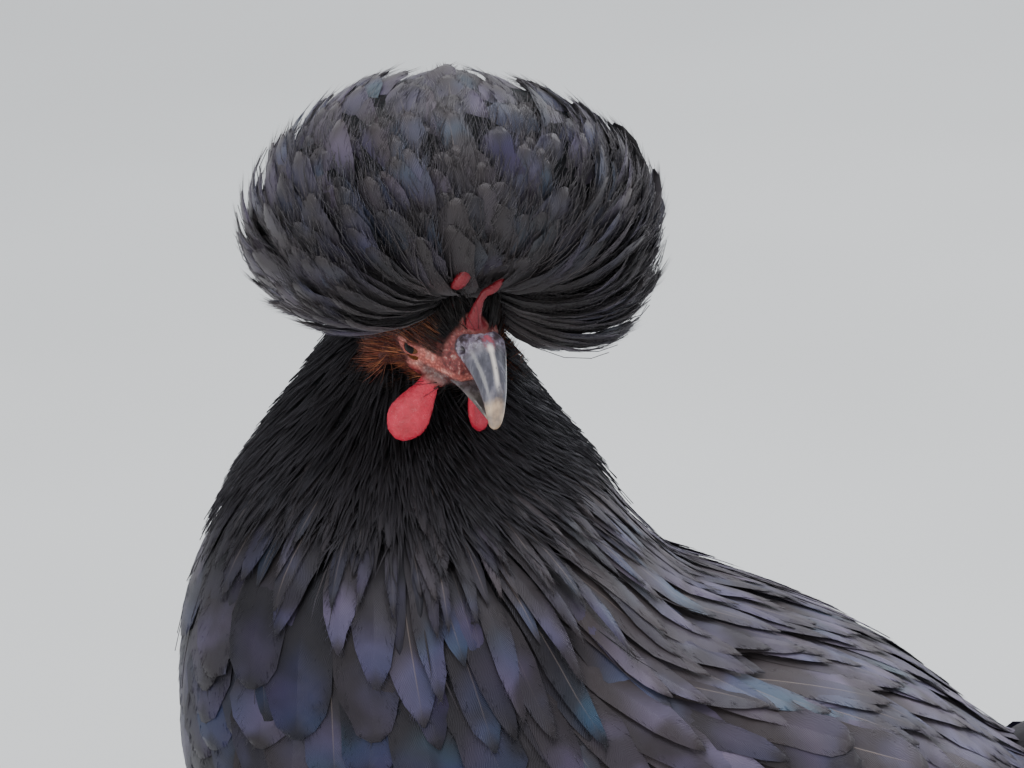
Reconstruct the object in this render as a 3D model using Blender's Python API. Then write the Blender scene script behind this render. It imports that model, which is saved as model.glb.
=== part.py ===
"""A black Polish crested hen, standing and looking over her left side, at life size.

Metres, +Z up. The hen's breast faces -Y and her left side +X. Sizes are given in centimetres and
scaled once. The head has its own directions: forward, to its left and up.
"""

import math
import random

import bmesh
import bpy
from mathutils import Matrix, Vector

CM = 0.01
GAP = 0.0003
MERGE = 0.00005

TORSO_SIDES = 22
TORSO_RINGS = 17
ROUNDNESS = 2.25

# Y place, lowest point, widest level, highest point, half width
TORSO_SECTIONS = (
    (-8.15, 19.8, 21.2, 22.5, 1.3),
    (-7.4, 16.6, 21.0, 24.4, 3.5),
    (-5.8, 13.6, 20.4, 25.4, 5.5),
    (-3.0, 11.3, 19.6, 25.9, 7.2),
    (0.5, 10.1, 18.8, 25.9, 8.1),
    (4.0, 9.8, 18.2, 25.5, 8.4),
    (8.0, 10.4, 17.6, 24.3, 8.2),
    (11.7, 11.6, 17.2, 22.6, 7.5),
    (14.5, 13.0, 16.9, 21.0, 6.1),
    (16.6, 14.3, 16.7, 19.3, 4.5),
    (18.2, 15.2, 16.5, 17.9, 2.6),
)

NECK_SIDES = 20
NECK_RINGS = 13
# height, middle X, middle Y, half width along X, half width along Y
NECK_SECTIONS = (
    (19.6, 0.2, -1.6, 4.6, 4.0),
    (21.4, 0.1, -1.4, 6.7, 6.3),
    (23.0, 0.0, -1.0, 7.5, 7.1),
    (24.6, 0.0, -0.5, 7.3, 7.3),
    (26.2, -0.1, -0.35, 6.4, 6.85),
    (27.8, -0.5, -0.65, 4.7, 5.7),
    (29.6, -1.1, -0.75, 2.9, 4.35),
    (31.4, -1.4, -0.6, 2.1, 3.1),
    (32.7, -1.6, -0.7, 1.6, 2.2),
    (33.6, -1.6, -0.8, 1.0, 1.2),
)

HEAD_MIDDLE = Vector((1.5, 0.03, 33.0))
HEAD_TURN = math.radians(106.5)
HEAD_PITCH = math.radians(14.1)
HEAD_ROLL = math.radians(6.1)
HEAD_SIDES = 14
HEAD_RINGS = 11
# forward place, lowest point, widest level, highest point, half width
HEAD_SECTIONS = (
    (-2.7, -0.9, -0.2, 0.5, 0.6),
    (-2.2, -1.5, -0.3, 1.1, 1.2),
    (-1.1, -1.9, -0.4, 1.6, 1.62),
    (0.1, -1.8, -0.4, 1.7, 1.55),
    (0.9, -1.5, -0.3, 1.5, 1.2),
    (1.6, -1.25, -0.2, 1.15, 0.85),
    (2.0, -1.1, -0.15, 0.85, 0.6),
)

EYE_PLACE = Vector((0.25, 0.98, -0.3))
EYE_RADIUS = 0.55
LID_RADIUS = 0.47
LID_THICKNESS = 0.13
LID_POINTS = 12
LID_SIDES = 5

# forward, up, half width, height of each section of the bill
UPPER_BILL = (
    (1.45, 0.25, 0.72, 0.62),
    (2.0, 0.2, 0.62, 0.62),
    (2.5, 0.02, 0.52, 0.5),
    (3.0, -0.3, 0.42, 0.4),
    (3.4, -0.7, 0.3, 0.3),
    (3.68, -1.15, 0.17, 0.19),
    (3.76, -1.45, 0.06, 0.08),
)
LOWER_BILL = (
    (1.3, -0.95, 0.66, 0.3),
    (2.0, -0.93, 0.52, 0.27),
    (2.7, -1.05, 0.36, 0.2),
    (3.2, -1.22, 0.2, 0.14),
    (3.42, -1.34, 0.08, 0.07),
)
BILL_SIDES = 10
NOSTRIL_PLACE = (2.08, 0.56, 0.42)
NOSTRIL_HALF = (0.2, 0.13, 0.1)

HORN_RADIUS = 0.27
# forward, left, up of each point along a comb horn, and the share of its radius
HORN_LEFT = (
    (1.9, 0.0, 0.95, 1.0),
    (1.85, 0.15, 1.5, 0.85),
    (1.75, 0.35, 2.0, 0.8),
    (1.6, 0.58, 2.5, 0.4),
)
HORN_RIGHT = (
    (1.9, -0.1, 0.95, 1.0),
    (1.85, -0.45, 1.65, 0.8),
    (1.75, -0.9, 2.35, 1.0),
    (1.65, -1.15, 3.05, 0.5),
)

WATTLE_PLACE = (1.0, 0.78, -1.35)
WATTLE_DROP = 2.3
WATTLE_WIDTH = 0.78
WATTLE_THICKNESS = 0.2
WATTLE_TURN = math.radians(52)
LOBE_PLACE = (-1.0, 1.6, -1.35)
LOBE_HALF = (0.5, 0.25, 0.68)

CREST_MIDDLE = Vector((-0.9, 0.35, 2.95))
CREST_POLE = Vector((0.671, 0.0, -0.741))
CREST_FRONT = Vector((0.741, 0.0, 0.671))
CREST_FORWARD, CREST_BACK = 3.3, 5.2
CREST_SIDE = 6.6
CREST_UP, CREST_DOWN = 4.55, 4.3
CREST_NAPE_DROP = 3.0
CREST_ROLL = math.radians(-9)
CREST_CORE = 0.48
CREST_ROOT = 0.38
CREST_BEND = math.radians(75)
CREST_SEED = 4
CREST_TILT = math.radians(-12)
# angle of the tips from the opening over the bill, length as an angle, count, half width
CREST_TIERS = (
    (40, 26, 8, 0.95),
    (60, 40, 10, 1.25),
    (80, 52, 12, 1.5),
    (100, 58, 13, 1.55),
    (119, 60, 12, 1.55),
    (138, 60, 10, 1.55),
    (157, 60, 7, 1.45),
    (174, 60, 3, 1.3),
)

VANE_THICKNESS = 0.06

# places along a wing or tail feather and its width there, as shares of its length and half width
QUILL_PLACES = (0.0, 0.3, 0.8, 1.0)
QUILL_WIDTHS = (0.3, 0.85, 1.0, 0.5)

WING_FIRST, WING_LAST = -3.2, 10.5
WING_RINGS = 9
WING_BULGE = 0.95
WING_SKIN, WING_SUNK = 0.12, -0.35
WING_TILT = math.radians(7)
# Y place, lowest and highest angle round the torso that the wing covers there
WING_EDGES = (
    (-3.2, 6, 22),
    (-1.5, -12, 42),
    (2.0, -20, 52),
    (8.0, -26, 52),
    (13.0, -36, 44),
    (16.5, -34, 30),
    (18.6, -20, 4),
)
WING_TORSO_END = 17.4
# count, Y place of the roots, of the lowest and highest tip, shares of the wing's depth of the
# lowest and highest root and tip, half width, lift at the root, where it comes free and at the tip
WING_TIERS = (
    (3, 9.0, 19.4, 18.4, (0.15, 0.4), (0.15, 0.5), 0.8, (0.0, 0.25, 0.25)),
    (5, 8.6, 17.4, 13.4, (0.14, 0.8), (0.14, 0.76), 1.38, (0.1, 0.6, 0.45)),
    (4, 4.8, 11.4, 9.2, (0.14, 0.74), (0.12, 0.68), 1.55, (0.45, 1.1, 0.9)),
)
WING_STEP = 0.09

TAIL_BASE_Y = 17.0
TAIL_ROOT_PLACE = Vector((0, 17.6, 16.7))
TAIL_ROOT_HALF = (3.4, 2.0, 1.35)
TAIL_ROOT = 1.5
# half width, height of the ridge over the edges and level of the edges, at the base and per cm
TAIL_HALF = (1.5, 0.24)
TAIL_RISE = (0.6, 0.22)
TAIL_LEVEL = (16.7, 0.1, 0.004)
# count a side, first angle from the ridge, step, length, shorter by, lift, lower by, half width
TAIL_TIERS = (
    (5, 8, 17, 14.4, 0.28, 0.75, 0.16, 1.15),
    (2, 16, 34, 6.6, 0.5, 1.1, 0.2, 1.1),
)
TAIL_LEFT_OVER_RIGHT = 0.08

FOOT_MIDDLE_Y = 4.4
FOOT_X = 4.6
TOE_RADIUS = 0.42
# name, length, turn outward from straight ahead in degrees
TOES = (
    ("middle", 6.3, 2),
    ("outer", 4.9, 38),
    ("inner", 4.5, -34),
    ("rear", 2.4, 172),
)
CLAW_LENGTH = 1.35
BALL_HEIGHT = 1.1
HOCK = Vector((4.3, 6.6, 8.6))
THIGH_TOP = Vector((4.3, 3.2, 14.8))


def clear_scene():
    for obj in list(bpy.data.objects):
        bpy.data.objects.remove(obj)


def material(name, colour, roughness, metallic=0.0):
    made = bpy.data.materials.new(name)
    made.use_nodes = True
    shader = made.node_tree.nodes["Principled BSDF"]
    shader.inputs["Base Color"].default_value = (*colour, 1.0)
    shader.inputs["Roughness"].default_value = roughness
    shader.inputs["Metallic"].default_value = metallic
    return made


def curve_value(rows, at):
    """A smooth curve through the rows, read at a value of their first column."""
    last = len(rows) - 1
    k = 0
    while k < last - 1 and at > rows[k + 1][0]:
        k += 1
    start, end = rows[k], rows[k + 1]
    before, after = rows[max(k - 1, 0)], rows[min(k + 2, last)]
    span = end[0] - start[0]
    t = min(max((at - start[0]) / span, 0.0), 1.0)
    values = []
    for c in range(1, len(start)):
        slope_in = (end[c] - before[c]) / (end[0] - before[0]) * span
        slope_out = (after[c] - start[c]) / (after[0] - start[0]) * span
        a = 2 * t**3 - 3 * t**2 + 1
        b = t**3 - 2 * t**2 + t
        d = t**3 - t**2
        values.append(a * start[c] + b * slope_in + (1 - a) * end[c] + d * slope_out)
    return values


def eased_places(low, high, count):
    """Places from low to high, closer together near both ends."""
    return [low + (high - low) * (1 - math.cos(math.pi * i / (count - 1))) / 2 for i in range(count)]


def squircle(angle, power=ROUNDNESS):
    c, s = math.cos(angle), math.sin(angle)
    return (
        math.copysign(abs(c) ** (2 / power), c),
        math.copysign(abs(s) ** (2 / power), s),
    )


def new_object(name, points, faces, look):
    """An object from points in centimetres."""
    mesh = bpy.data.meshes.new(name)
    mesh.from_pydata([tuple(p * CM) for p in points], [], faces)
    mesh.update()
    tidy = bmesh.new()
    tidy.from_mesh(mesh)
    bmesh.ops.recalc_face_normals(tidy, faces=tidy.faces)
    tidy.to_mesh(mesh)
    tidy.free()
    obj = bpy.data.objects.new(name, mesh)
    bpy.context.scene.collection.objects.link(obj)
    if look:
        mesh.materials.append(look)
    return obj


def tube(name, rings, look):
    """A closed skin over rings of points, with a point in the middle of each end."""
    count = len(rings[0])
    points = [p for ring in rings for p in ring]
    faces = []
    for r in range(len(rings) - 1):
        for i in range(count):
            j = (i + 1) % count
            a, b = r * count + i, r * count + j
            c, d = b + count, a + count
            faces += [(a, b, c), (a, c, d)]
    for ring_start, ring in ((0, rings[0]), ((len(rings) - 1) * count, rings[-1])):
        middle = len(points)
        points.append(sum(ring, Vector()) / count)
        faces += [(ring_start + i, ring_start + (i + 1) % count, middle) for i in range(count)]
    return new_object(name, points, faces, look)


def ellipsoid(name, place, half, axes, look, segments=14, rings=9):
    """A ball stretched by its three half sizes along its three directions."""
    loops = []
    for r in range(1, rings):
        polar = math.pi * r / rings
        loops.append(
            [
                place
                + axes[0] * half[0] * math.cos(polar)
                + axes[1] * half[1] * math.sin(polar) * math.cos(2 * math.pi * i / segments)
                + axes[2] * half[2] * math.sin(polar) * math.sin(2 * math.pi * i / segments)
                for i in range(segments)
            ]
        )
    obj = tube(name, loops, look)
    ends = obj.data.vertices
    ends[len(ends) - 2].co = (place + axes[0] * half[0]) * CM
    ends[len(ends) - 1].co = (place - axes[0] * half[0]) * CM
    return obj


def rounded_rod(name, path, radii, look, sides=10, flatten=1.0, flat_way=Vector((0, 0, 1))):
    """A tube along a path with its own radius at each point, thinner along flat_way by flatten."""
    rings = []
    for k, place in enumerate(path):
        ahead = path[min(k + 1, len(path) - 1)] - path[max(k - 1, 0)]
        side = ahead.cross(flat_way)
        if side.length < 1e-6:
            side = ahead.orthogonal()
        side.normalize()
        thin = side.cross(ahead).normalized()
        rings.append(
            [
                place
                + side * radii[k] * math.cos(2 * math.pi * i / sides)
                + thin * radii[k] * flatten * math.sin(2 * math.pi * i / sides)
                for i in range(sides)
            ]
        )
    return tube(name, rings, look)


def vane(name, stations, thickness):
    """A thin feather from stations of middle, sideways way, outward way and half width.

    Both faces are split into triangles alike, so the vane keeps its thickness where it curves.
    """
    points = []
    for middle, across, outward, half in stations:
        for side in (-1, 1):
            points += [middle + across * half * side, middle + across * half * side - outward * thickness]
    faces = []
    for a in range(0, 4 * (len(stations) - 1), 4):
        left, left_under, right, right_under = a, a + 1, a + 2, a + 3
        faces += [(left, right, right + 4), (left, right + 4, left + 4)]
        faces += [(left_under, right_under + 4, right_under), (left_under, left_under + 4, right_under + 4)]
        faces += [(left, left + 4, left_under + 4), (left, left_under + 4, left_under)]
        faces += [(right, right_under + 4, right + 4), (right, right_under, right_under + 4)]
    for a in (0, 4 * (len(stations) - 1)):
        faces += [(a, a + 1, a + 3), (a, a + 3, a + 2)]
    return new_object(name, points, faces, None)


def frames_along(path, facing, tilt=0.0):
    """The sideways and outward ways at each point of a path that faces the given ways."""
    ways = []
    for k, place in enumerate(path):
        ahead = (path[min(k + 1, len(path) - 1)] - path[max(k - 1, 0)]).normalized()
        across = ahead.cross(facing[k]).normalized()
        turned = Matrix.Rotation(tilt, 3, ahead)
        ways.append((turned @ across, turned @ across.cross(ahead)))
    return ways


def smooth_path(points, count):
    """Points along a smooth curve through the given ones."""
    rows = [(i, *p) for i, p in enumerate(points)]
    last = len(points) - 1
    return [Vector(curve_value(rows, last * i / (count - 1))) for i in range(count)]


def grown_copy(obj, by=GAP):
    """A copy moved out along its normals, used to cut a neighbour with a small gap."""
    copy = obj.copy()
    copy.data = obj.data.copy()
    copy.name = obj.name + "_cutter"
    bpy.context.scene.collection.objects.link(copy)
    shift = [v.normal.copy() for v in copy.data.vertices]
    for v, way in zip(copy.data.vertices, shift):
        v.co += way * by
    copy.hide_render = True
    copy.display_type = "WIRE"
    return copy


def apply_modifier(obj, modifier):
    with bpy.context.temp_override(object=obj, active_object=obj, selected_objects=[obj]):
        bpy.ops.object.modifier_apply(modifier=modifier.name)


def join_pieces(base, pieces):
    """One Boolean union of a node with the pieces that grow from it."""
    group = bpy.data.collections.new(base.name + "_pieces")
    bpy.context.scene.collection.children.link(group)
    for piece in pieces:
        bpy.context.scene.collection.objects.unlink(piece)
        group.objects.link(piece)
    union = base.modifiers.new("union", "BOOLEAN")
    union.operation = "UNION"
    union.operand_type = "COLLECTION"
    union.collection = group
    union.solver = "MANIFOLD"
    apply_modifier(base, union)
    for piece in pieces:
        bpy.data.objects.remove(piece)
    bpy.data.collections.remove(group)
    keep_largest(base)


def cut(obj, *cutters):
    for cutter in cutters:
        difference = obj.modifiers.new("cut", "BOOLEAN")
        difference.operation = "DIFFERENCE"
        difference.object = cutter
        difference.solver = "MANIFOLD"
        apply_modifier(obj, difference)
    keep_largest(obj)


def merge_slivers(obj):
    """Merges points that a Boolean left next to each other, where the surface stays closed."""
    mesh = bmesh.new()
    mesh.from_mesh(obj.data)
    bmesh.ops.triangulate(mesh, faces=mesh.faces)
    bmesh.ops.remove_doubles(mesh, verts=mesh.verts, dist=MERGE)
    bmesh.ops.dissolve_degenerate(mesh, edges=mesh.edges, dist=MERGE)
    if all(edge.is_manifold for edge in mesh.edges):
        mesh.to_mesh(obj.data)
    mesh.free()


def keep_largest(obj):
    """Leaves only the largest closed surface of a node."""
    merge_slivers(obj)
    mesh = bmesh.new()
    mesh.from_mesh(obj.data)
    mesh.faces.ensure_lookup_table()
    unseen = set(range(len(mesh.faces)))
    groups = []
    while unseen:
        stack = [unseen.pop()]
        group = []
        while stack:
            index = stack.pop()
            group.append(index)
            for edge in mesh.faces[index].edges:
                for face in edge.link_faces:
                    if face.index in unseen:
                        unseen.remove(face.index)
                        stack.append(face.index)
        groups.append(group)
    if len(groups) > 1:
        sizes = [sum(mesh.faces[i].calc_area() for i in group) for group in groups]
        largest = set(groups[sizes.index(max(sizes))])
        bmesh.ops.delete(mesh, geom=[f for f in mesh.faces if f.index not in largest], context="FACES")
    mesh.to_mesh(obj.data)
    mesh.free()


def smooth(obj, angle=50):
    obj.data.shade_smooth()
    obj.data.set_sharp_from_angle(angle=math.radians(angle))


def head_axes():
    """Forward, left and up of the head."""
    heading = Vector((math.sin(HEAD_TURN), -math.cos(HEAD_TURN), 0))
    up = Vector((0, 0, 1))
    left = up.cross(heading)
    forward = heading * math.cos(HEAD_PITCH) - up * math.sin(HEAD_PITCH)
    crown = heading * math.sin(HEAD_PITCH) + up * math.cos(HEAD_PITCH)
    leaning = crown * math.cos(HEAD_ROLL) + left * math.sin(HEAD_ROLL)
    sideways = left * math.cos(HEAD_ROLL) - crown * math.sin(HEAD_ROLL)
    return forward, sideways, leaning


FORWARD, SIDEWAYS, CROWN = head_axes()


def on_head(place):
    return HEAD_MIDDLE + FORWARD * place[0] + SIDEWAYS * place[1] + CROWN * place[2]


def torso_point(y, angle, lift=0.0):
    """A point on the torso's surface at a Y place and an angle round it, 0 at the left side, 90 on top."""
    low, level, high, half = curve_value(TORSO_SECTIONS, y)
    c, s = squircle(angle)
    reach = high - level if s > 0 else level - low
    point = Vector((half * c, y, level + reach * s))
    if lift:
        point += torso_normal(y, angle) * lift
    return point


def torso_normal(y, angle):
    step = 0.05
    along = torso_point(y + step, angle) - torso_point(y - step, angle)
    around = torso_point(y, angle + step) - torso_point(y, angle - step)
    return along.cross(around).normalized()


def make_torso(look):
    first, last = TORSO_SECTIONS[0][0], TORSO_SECTIONS[-1][0]
    rings = []
    for y in eased_places(first, last, TORSO_RINGS):
        rings.append([torso_point(y, 2 * math.pi * i / TORSO_SIDES) for i in range(TORSO_SIDES)])
    return tube("torso", rings, look)


def make_neck(look):
    rings = []
    for z in eased_places(NECK_SECTIONS[0][0], NECK_SECTIONS[-1][0], NECK_RINGS):
        middle_x, middle_y, half_x, half_y = curve_value(NECK_SECTIONS, z)
        rings.append(
            [
                Vector(
                    (
                        middle_x + half_x * math.cos(2 * math.pi * i / NECK_SIDES),
                        middle_y + half_y * math.sin(2 * math.pi * i / NECK_SIDES),
                        z,
                    )
                )
                for i in range(NECK_SIDES)
            ]
        )
    return tube("neck", rings, look)


def make_skull(look):
    rings = []
    for f in eased_places(HEAD_SECTIONS[0][0], HEAD_SECTIONS[-1][0], HEAD_RINGS):
        low, level, high, half = curve_value(HEAD_SECTIONS, f)
        ring = []
        for i in range(HEAD_SIDES):
            c, s = squircle(2 * math.pi * i / HEAD_SIDES, 2.1)
            reach = high - level if s > 0 else level - low
            ring.append(on_head((f, half * c, level + reach * s)))
        rings.append(ring)
    return tube("head", rings, look)


def eye_centre(side):
    return on_head((EYE_PLACE.x, EYE_PLACE.y * side, EYE_PLACE.z))


def make_eye(side, name, look):
    return ellipsoid(name, eye_centre(side), (EYE_RADIUS,) * 3, (SIDEWAYS, FORWARD, CROWN), look, 10, 7)


def make_lids(side):
    """A thickened rim round the eye, in two arcs that meet at its corners."""
    outward = (SIDEWAYS * side + FORWARD * 0.25).normalized()
    along = (FORWARD - outward * FORWARD.dot(outward)).normalized()
    across = outward.cross(along)
    centre = eye_centre(side) + outward * (EYE_RADIUS * 0.55)
    rings = []
    for k in range(LID_POINTS):
        turn = 2 * math.pi * k / LID_POINTS
        way = along * math.cos(turn) * 1.12 + across * math.sin(turn) * 0.9
        middle = centre + way * LID_RADIUS
        rings.append(
            [
                middle
                + way.normalized() * LID_THICKNESS * math.cos(a)
                + outward * LID_THICKNESS * math.sin(a)
                for a in [2 * math.pi * i / LID_SIDES for i in range(LID_SIDES)]
            ]
        )
    points = [p for ring in rings for p in ring]
    faces = []
    for r in range(LID_POINTS):
        for i in range(LID_SIDES):
            a, b = r * LID_SIDES + i, r * LID_SIDES + (i + 1) % LID_SIDES
            c = ((r + 1) % LID_POINTS) * LID_SIDES + (i + 1) % LID_SIDES
            d = ((r + 1) % LID_POINTS) * LID_SIDES + i
            faces += [(a, b, c), (a, c, d)]
    return new_object("lid", points, faces, None)


def bill(name, sections, look, hump=1.0):
    """A bill half: rings set square to its bending middle line, flatter below."""
    rows = [(i, *row) for i, row in enumerate(sections)]
    rings = []
    count = 2 * len(sections) - 1
    for k in range(count):
        at = k / 2
        forward, up, half, height = curve_value(rows, at)
        nearer = curve_value(rows, max(at - 0.25, 0))
        further = curve_value(rows, min(at + 0.25, len(sections) - 1))
        ahead = Vector((further[0] - nearer[0], 0, further[1] - nearer[1])).normalized()
        rise = Vector((-ahead.z, 0, ahead.x))
        ring = []
        for i in range(BILL_SIDES):
            c, s = squircle(2 * math.pi * i / BILL_SIDES, 2.0)
            lifted = s * height * (hump if s > 0 else 0.55)
            place = Vector((forward, half * c, up)) + rise * lifted
            ring.append(on_head(place))
        rings.append(ring)
    return tube(name, rings, look)


def nostril_cutter(side):
    place = on_head((NOSTRIL_PLACE[0], NOSTRIL_PLACE[1] * side, NOSTRIL_PLACE[2]))
    return ellipsoid("nostril", place, NOSTRIL_HALF, (FORWARD, SIDEWAYS, CROWN), None, 8, 5)


def nostril_rim(side):
    """The raised flap of the cavernous nostril."""
    place = on_head((NOSTRIL_PLACE[0] - 0.1, (NOSTRIL_PLACE[1] - 0.18) * side, NOSTRIL_PLACE[2] + 0.08))
    return ellipsoid("rim", place, (0.42, 0.26, 0.3), (FORWARD, SIDEWAYS, CROWN), None, 8, 6)


def make_horn(name, points, look):
    path = smooth_path([on_head(p[:3]) for p in points], 7)
    shares = [curve_value([(i, p[3]) for i, p in enumerate(points)], k / 2)[0] for k in range(7)]
    return rounded_rod(name, path, [HORN_RADIUS * s for s in shares], look, 8, 0.8, FORWARD)


def make_wattle(side, name, look):
    """A hanging paddle with a narrow root and a round lower edge."""
    root = on_head((WATTLE_PLACE[0], WATTLE_PLACE[1] * side, WATTLE_PLACE[2]))
    down = Vector((0, 0, -1))
    swing = (SIDEWAYS * side * 0.35 - FORWARD * 0.1 + down).normalized()
    turned = FORWARD * math.cos(WATTLE_TURN) - SIDEWAYS * side * math.sin(WATTLE_TURN)
    wide = (turned - swing * turned.dot(swing)).normalized()
    thick = swing.cross(wide)
    rings = []
    for k in range(10):
        share = k / 9
        along = -0.35 + share * (WATTLE_DROP + 0.35)
        half = WATTLE_WIDTH * (0.42 + 0.58 * math.sin(min(share * 1.35, 1.0) * math.pi / 2) ** 2)
        half *= math.sqrt(max(1 - max((share - 0.62) / 0.385, 0) ** 2, 0.02))
        depth = WATTLE_THICKNESS * (1.25 - 0.35 * share) * min(half / WATTLE_WIDTH + 0.35, 1.0)
        rings.append(
            [
                root
                + swing * along
                + wide * half * math.cos(a)
                + thick * depth * math.sin(a)
                for a in [2 * math.pi * i / 12 for i in range(12)]
            ]
        )
    return tube(name, rings, look)


def make_lobe(side, name, look):
    place = on_head((LOBE_PLACE[0], LOBE_PLACE[1] * side, LOBE_PLACE[2]))
    return ellipsoid(name, place, LOBE_HALF, (FORWARD, SIDEWAYS, CROWN), look, 10, 7)


def crest_point(polar, turn, reach=1.0):
    """A point of the crest: polar is the angle from the dimple over the bill, turn the angle round it."""
    way = (
        CREST_POLE * math.cos(polar)
        + CREST_FRONT * math.sin(polar) * math.cos(turn)
        + Vector((0, 1, 0)) * math.sin(polar) * math.sin(turn)
    )
    power = 2.1 if way.z > 0 else 2.8
    fullness = sum(abs(part) ** power for part in way) ** (-1 / power) * reach
    depth = CREST_FORWARD if way.x > 0 else CREST_BACK
    height = CREST_UP if way.z > 0 else CREST_DOWN + CREST_NAPE_DROP * max(-way.x, 0)
    place = Vector((way.x * depth, way.y * CREST_SIDE, way.z * height)) * fullness
    rolled = Matrix.Rotation(CREST_ROLL, 3, "X") @ place
    return on_head(CREST_MIDDLE + rolled)


def crest_core(look):
    """The short down under the crest feathers, at most half way to their tips."""
    rings = []
    for polar in [math.radians(12 + 156 * k / 7) for k in range(8)]:
        rings.append([crest_point(polar, 2 * math.pi * i / 12, CREST_CORE) for i in range(12)])
    return tube("crest", rings, look)


def over_the_face(place):
    """Whether a point lies where the bare face, the throat or the neck has to stay clear."""
    local = place - HEAD_MIDDLE
    forward, left, up = local.dot(FORWARD), local.dot(SIDEWAYS), local.dot(CROWN)
    if forward > -2.6 and abs(left) < 2.5 and up < 1.4 + 0.5 * max(forward, 0):
        return True
    if forward > -1.2 and up < -0.9:
        return True
    middle_x, middle_y, half_x, half_y = curve_value(NECK_SECTIONS, min(place.z, NECK_SECTIONS[-1][0]))
    inside = ((place.x - middle_x) / half_x) ** 2 + ((place.y - middle_y) / half_y) ** 2
    return place.z < NECK_SECTIONS[-1][0] and inside < 1.05


def crest_vane(polar_root, polar_tip, turn, half, reach, tilt):
    """One crest feather, rising from the core and bending over until its tip lies along the globe."""
    path, facing = [], []
    middle = on_head(CREST_MIDDLE)
    for share in (0.0, 0.4, 0.7, 0.9, 1.0):
        polar = polar_root + (polar_tip - polar_root) * share**1.15
        rise = math.sin(share * CREST_BEND) / math.sin(CREST_BEND)
        out = CREST_ROOT + (reach - CREST_ROOT) * rise
        path.append(crest_point(polar, turn, out))
        facing.append((path[-1] - middle).normalized())
    ways = frames_along(path, facing, tilt)
    halves = (0.12 * half, 0.45 * half, 0.9 * half, 0.8 * half, 0.3 * half)
    return path, [(path[k], *ways[k], halves[k]) for k in range(len(path))]


def make_crest(look, neighbours):
    core = crest_core(look)
    draw = random.Random(CREST_SEED)
    vanes = []
    for tier, (tip, length, count, half) in enumerate(CREST_TIERS):
        for i in range(count):
            turn = 2 * math.pi * (i + 0.5 * (tier % 2) + draw.uniform(-0.07, 0.07)) / count
            polar_tip = math.radians(tip + draw.uniform(-2, 2))
            polar_root = math.radians(tip - length)
            width = half * draw.uniform(0.9, 1.1)
            reach = draw.uniform(0.993, 1.007)
            path, stations = crest_vane(polar_root, polar_tip, turn, width, reach, CREST_TILT)
            if over_the_face(path[2]) or over_the_face(path[-1]):
                continue
            vanes.append(vane(f"crest_vane_{tier}_{i}", stations, VANE_THICKNESS))
    join_pieces(core, vanes)
    cut(core, *neighbours)
    return core


def wing_point(side, y, share, lift):
    """A point of the wing: share runs from its lower edge to its upper one, lift is off the torso."""
    low, high = [math.radians(angle) for angle in curve_value(WING_EDGES, y)]
    shown = min(y, WING_TORSO_END)
    point = torso_point(shown, low + (high - low) * share, lift)
    point.y += y - shown
    return Vector((point.x * side, point.y, point.z))


def between(pair, part):
    return pair[0] + (pair[1] - pair[0]) * part


def quill(name, path, facing, half, tilt):
    """A wing or tail feather along a path, narrow at its root and rounded at its tip."""
    ways = frames_along(path, facing, tilt)
    stations = [(path[k], *ways[k], half * QUILL_WIDTHS[k]) for k in range(len(path))]
    return vane(name, stations, VANE_THICKNESS)


def wing_vane(name, side, root, tip, half, lifts):
    """A wing feather from its root's Y place and share of the wing's depth to its tip's."""
    path, facing = [], []
    free = QUILL_PLACES[1]
    for part in QUILL_PLACES:
        y, share = between((root[0], tip[0]), part), between((root[1], tip[1]), part)
        lift = between(lifts[:2], min(part / free, 1)) + (lifts[2] - lifts[1]) * part
        path.append(wing_point(side, y, share, lift))
        facing.append((wing_point(side, y, share, 1.0) - wing_point(side, y, share, 0.0)).normalized())
    return quill(name, path, facing, half, -WING_TILT * side)


def make_wing(side, name, look):
    """The folded wing: its smooth fore part with primaries, secondaries and coverts in tiers."""
    rings = []
    for y in eased_places(WING_FIRST, WING_LAST, WING_RINGS):
        depth = (y - WING_FIRST) / (WING_LAST - WING_FIRST)
        bulge = WING_BULGE * math.sqrt(1 - (1.6 * depth - 0.8) ** 2) * (1 - 0.55 * depth)
        over = [wing_point(side, y, i / 6, WING_SKIN + bulge * math.sin(math.pi * i / 6) ** 0.6) for i in range(7)]
        under = [wing_point(side, y, i / 6, WING_SUNK) for i in range(5, 0, -1)]
        rings.append(over + under)
    wing = tube(name, rings, look)
    feathers = []
    for tier, (count, root_y, tip_low, tip_high, roots, tips, half, lifts) in enumerate(WING_TIERS):
        for i in range(count):
            part = i / (count - 1)
            root = (root_y, between(roots, part))
            tip = (between((tip_low, tip_high), part), between(tips, part))
            raised = (lifts[0], lifts[1] + WING_STEP * i, lifts[2] + WING_STEP * i)
            feathers.append(wing_vane(f"wing_vane_{tier}_{i}", side, root, tip, half, raised))
    join_pieces(wing, feathers)
    return wing


def tail_point(along, fan, lift=0.0):
    """A point of the tented tail: fan is the angle from its ridge, along the distance from its base."""
    half = TAIL_HALF[0] + TAIL_HALF[1] * along
    rise = TAIL_RISE[0] + TAIL_RISE[1] * along
    level = TAIL_LEVEL[0] + TAIL_LEVEL[1] * along + TAIL_LEVEL[2] * along**2
    place = Vector((half * math.sin(fan), TAIL_BASE_Y + along, level + rise * math.cos(fan)))
    way = Vector((math.sin(fan) / half, 0, math.cos(fan) / rise)).normalized()
    return place + way * lift


def tail_vane(name, fan, tip, half, lift):
    path, facing = [], []
    for part in QUILL_PLACES:
        along = between((TAIL_ROOT, tip), part)
        spread = fan * (0.55 + 0.45 * min(part * 1.6, 1))
        path.append(tail_point(along, spread, lift * min(part / QUILL_PLACES[1], 1)))
        facing.append((tail_point(along, spread, 1.0) - tail_point(along, spread)).normalized())
    return quill(name, path, facing, half, 0.0)


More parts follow.
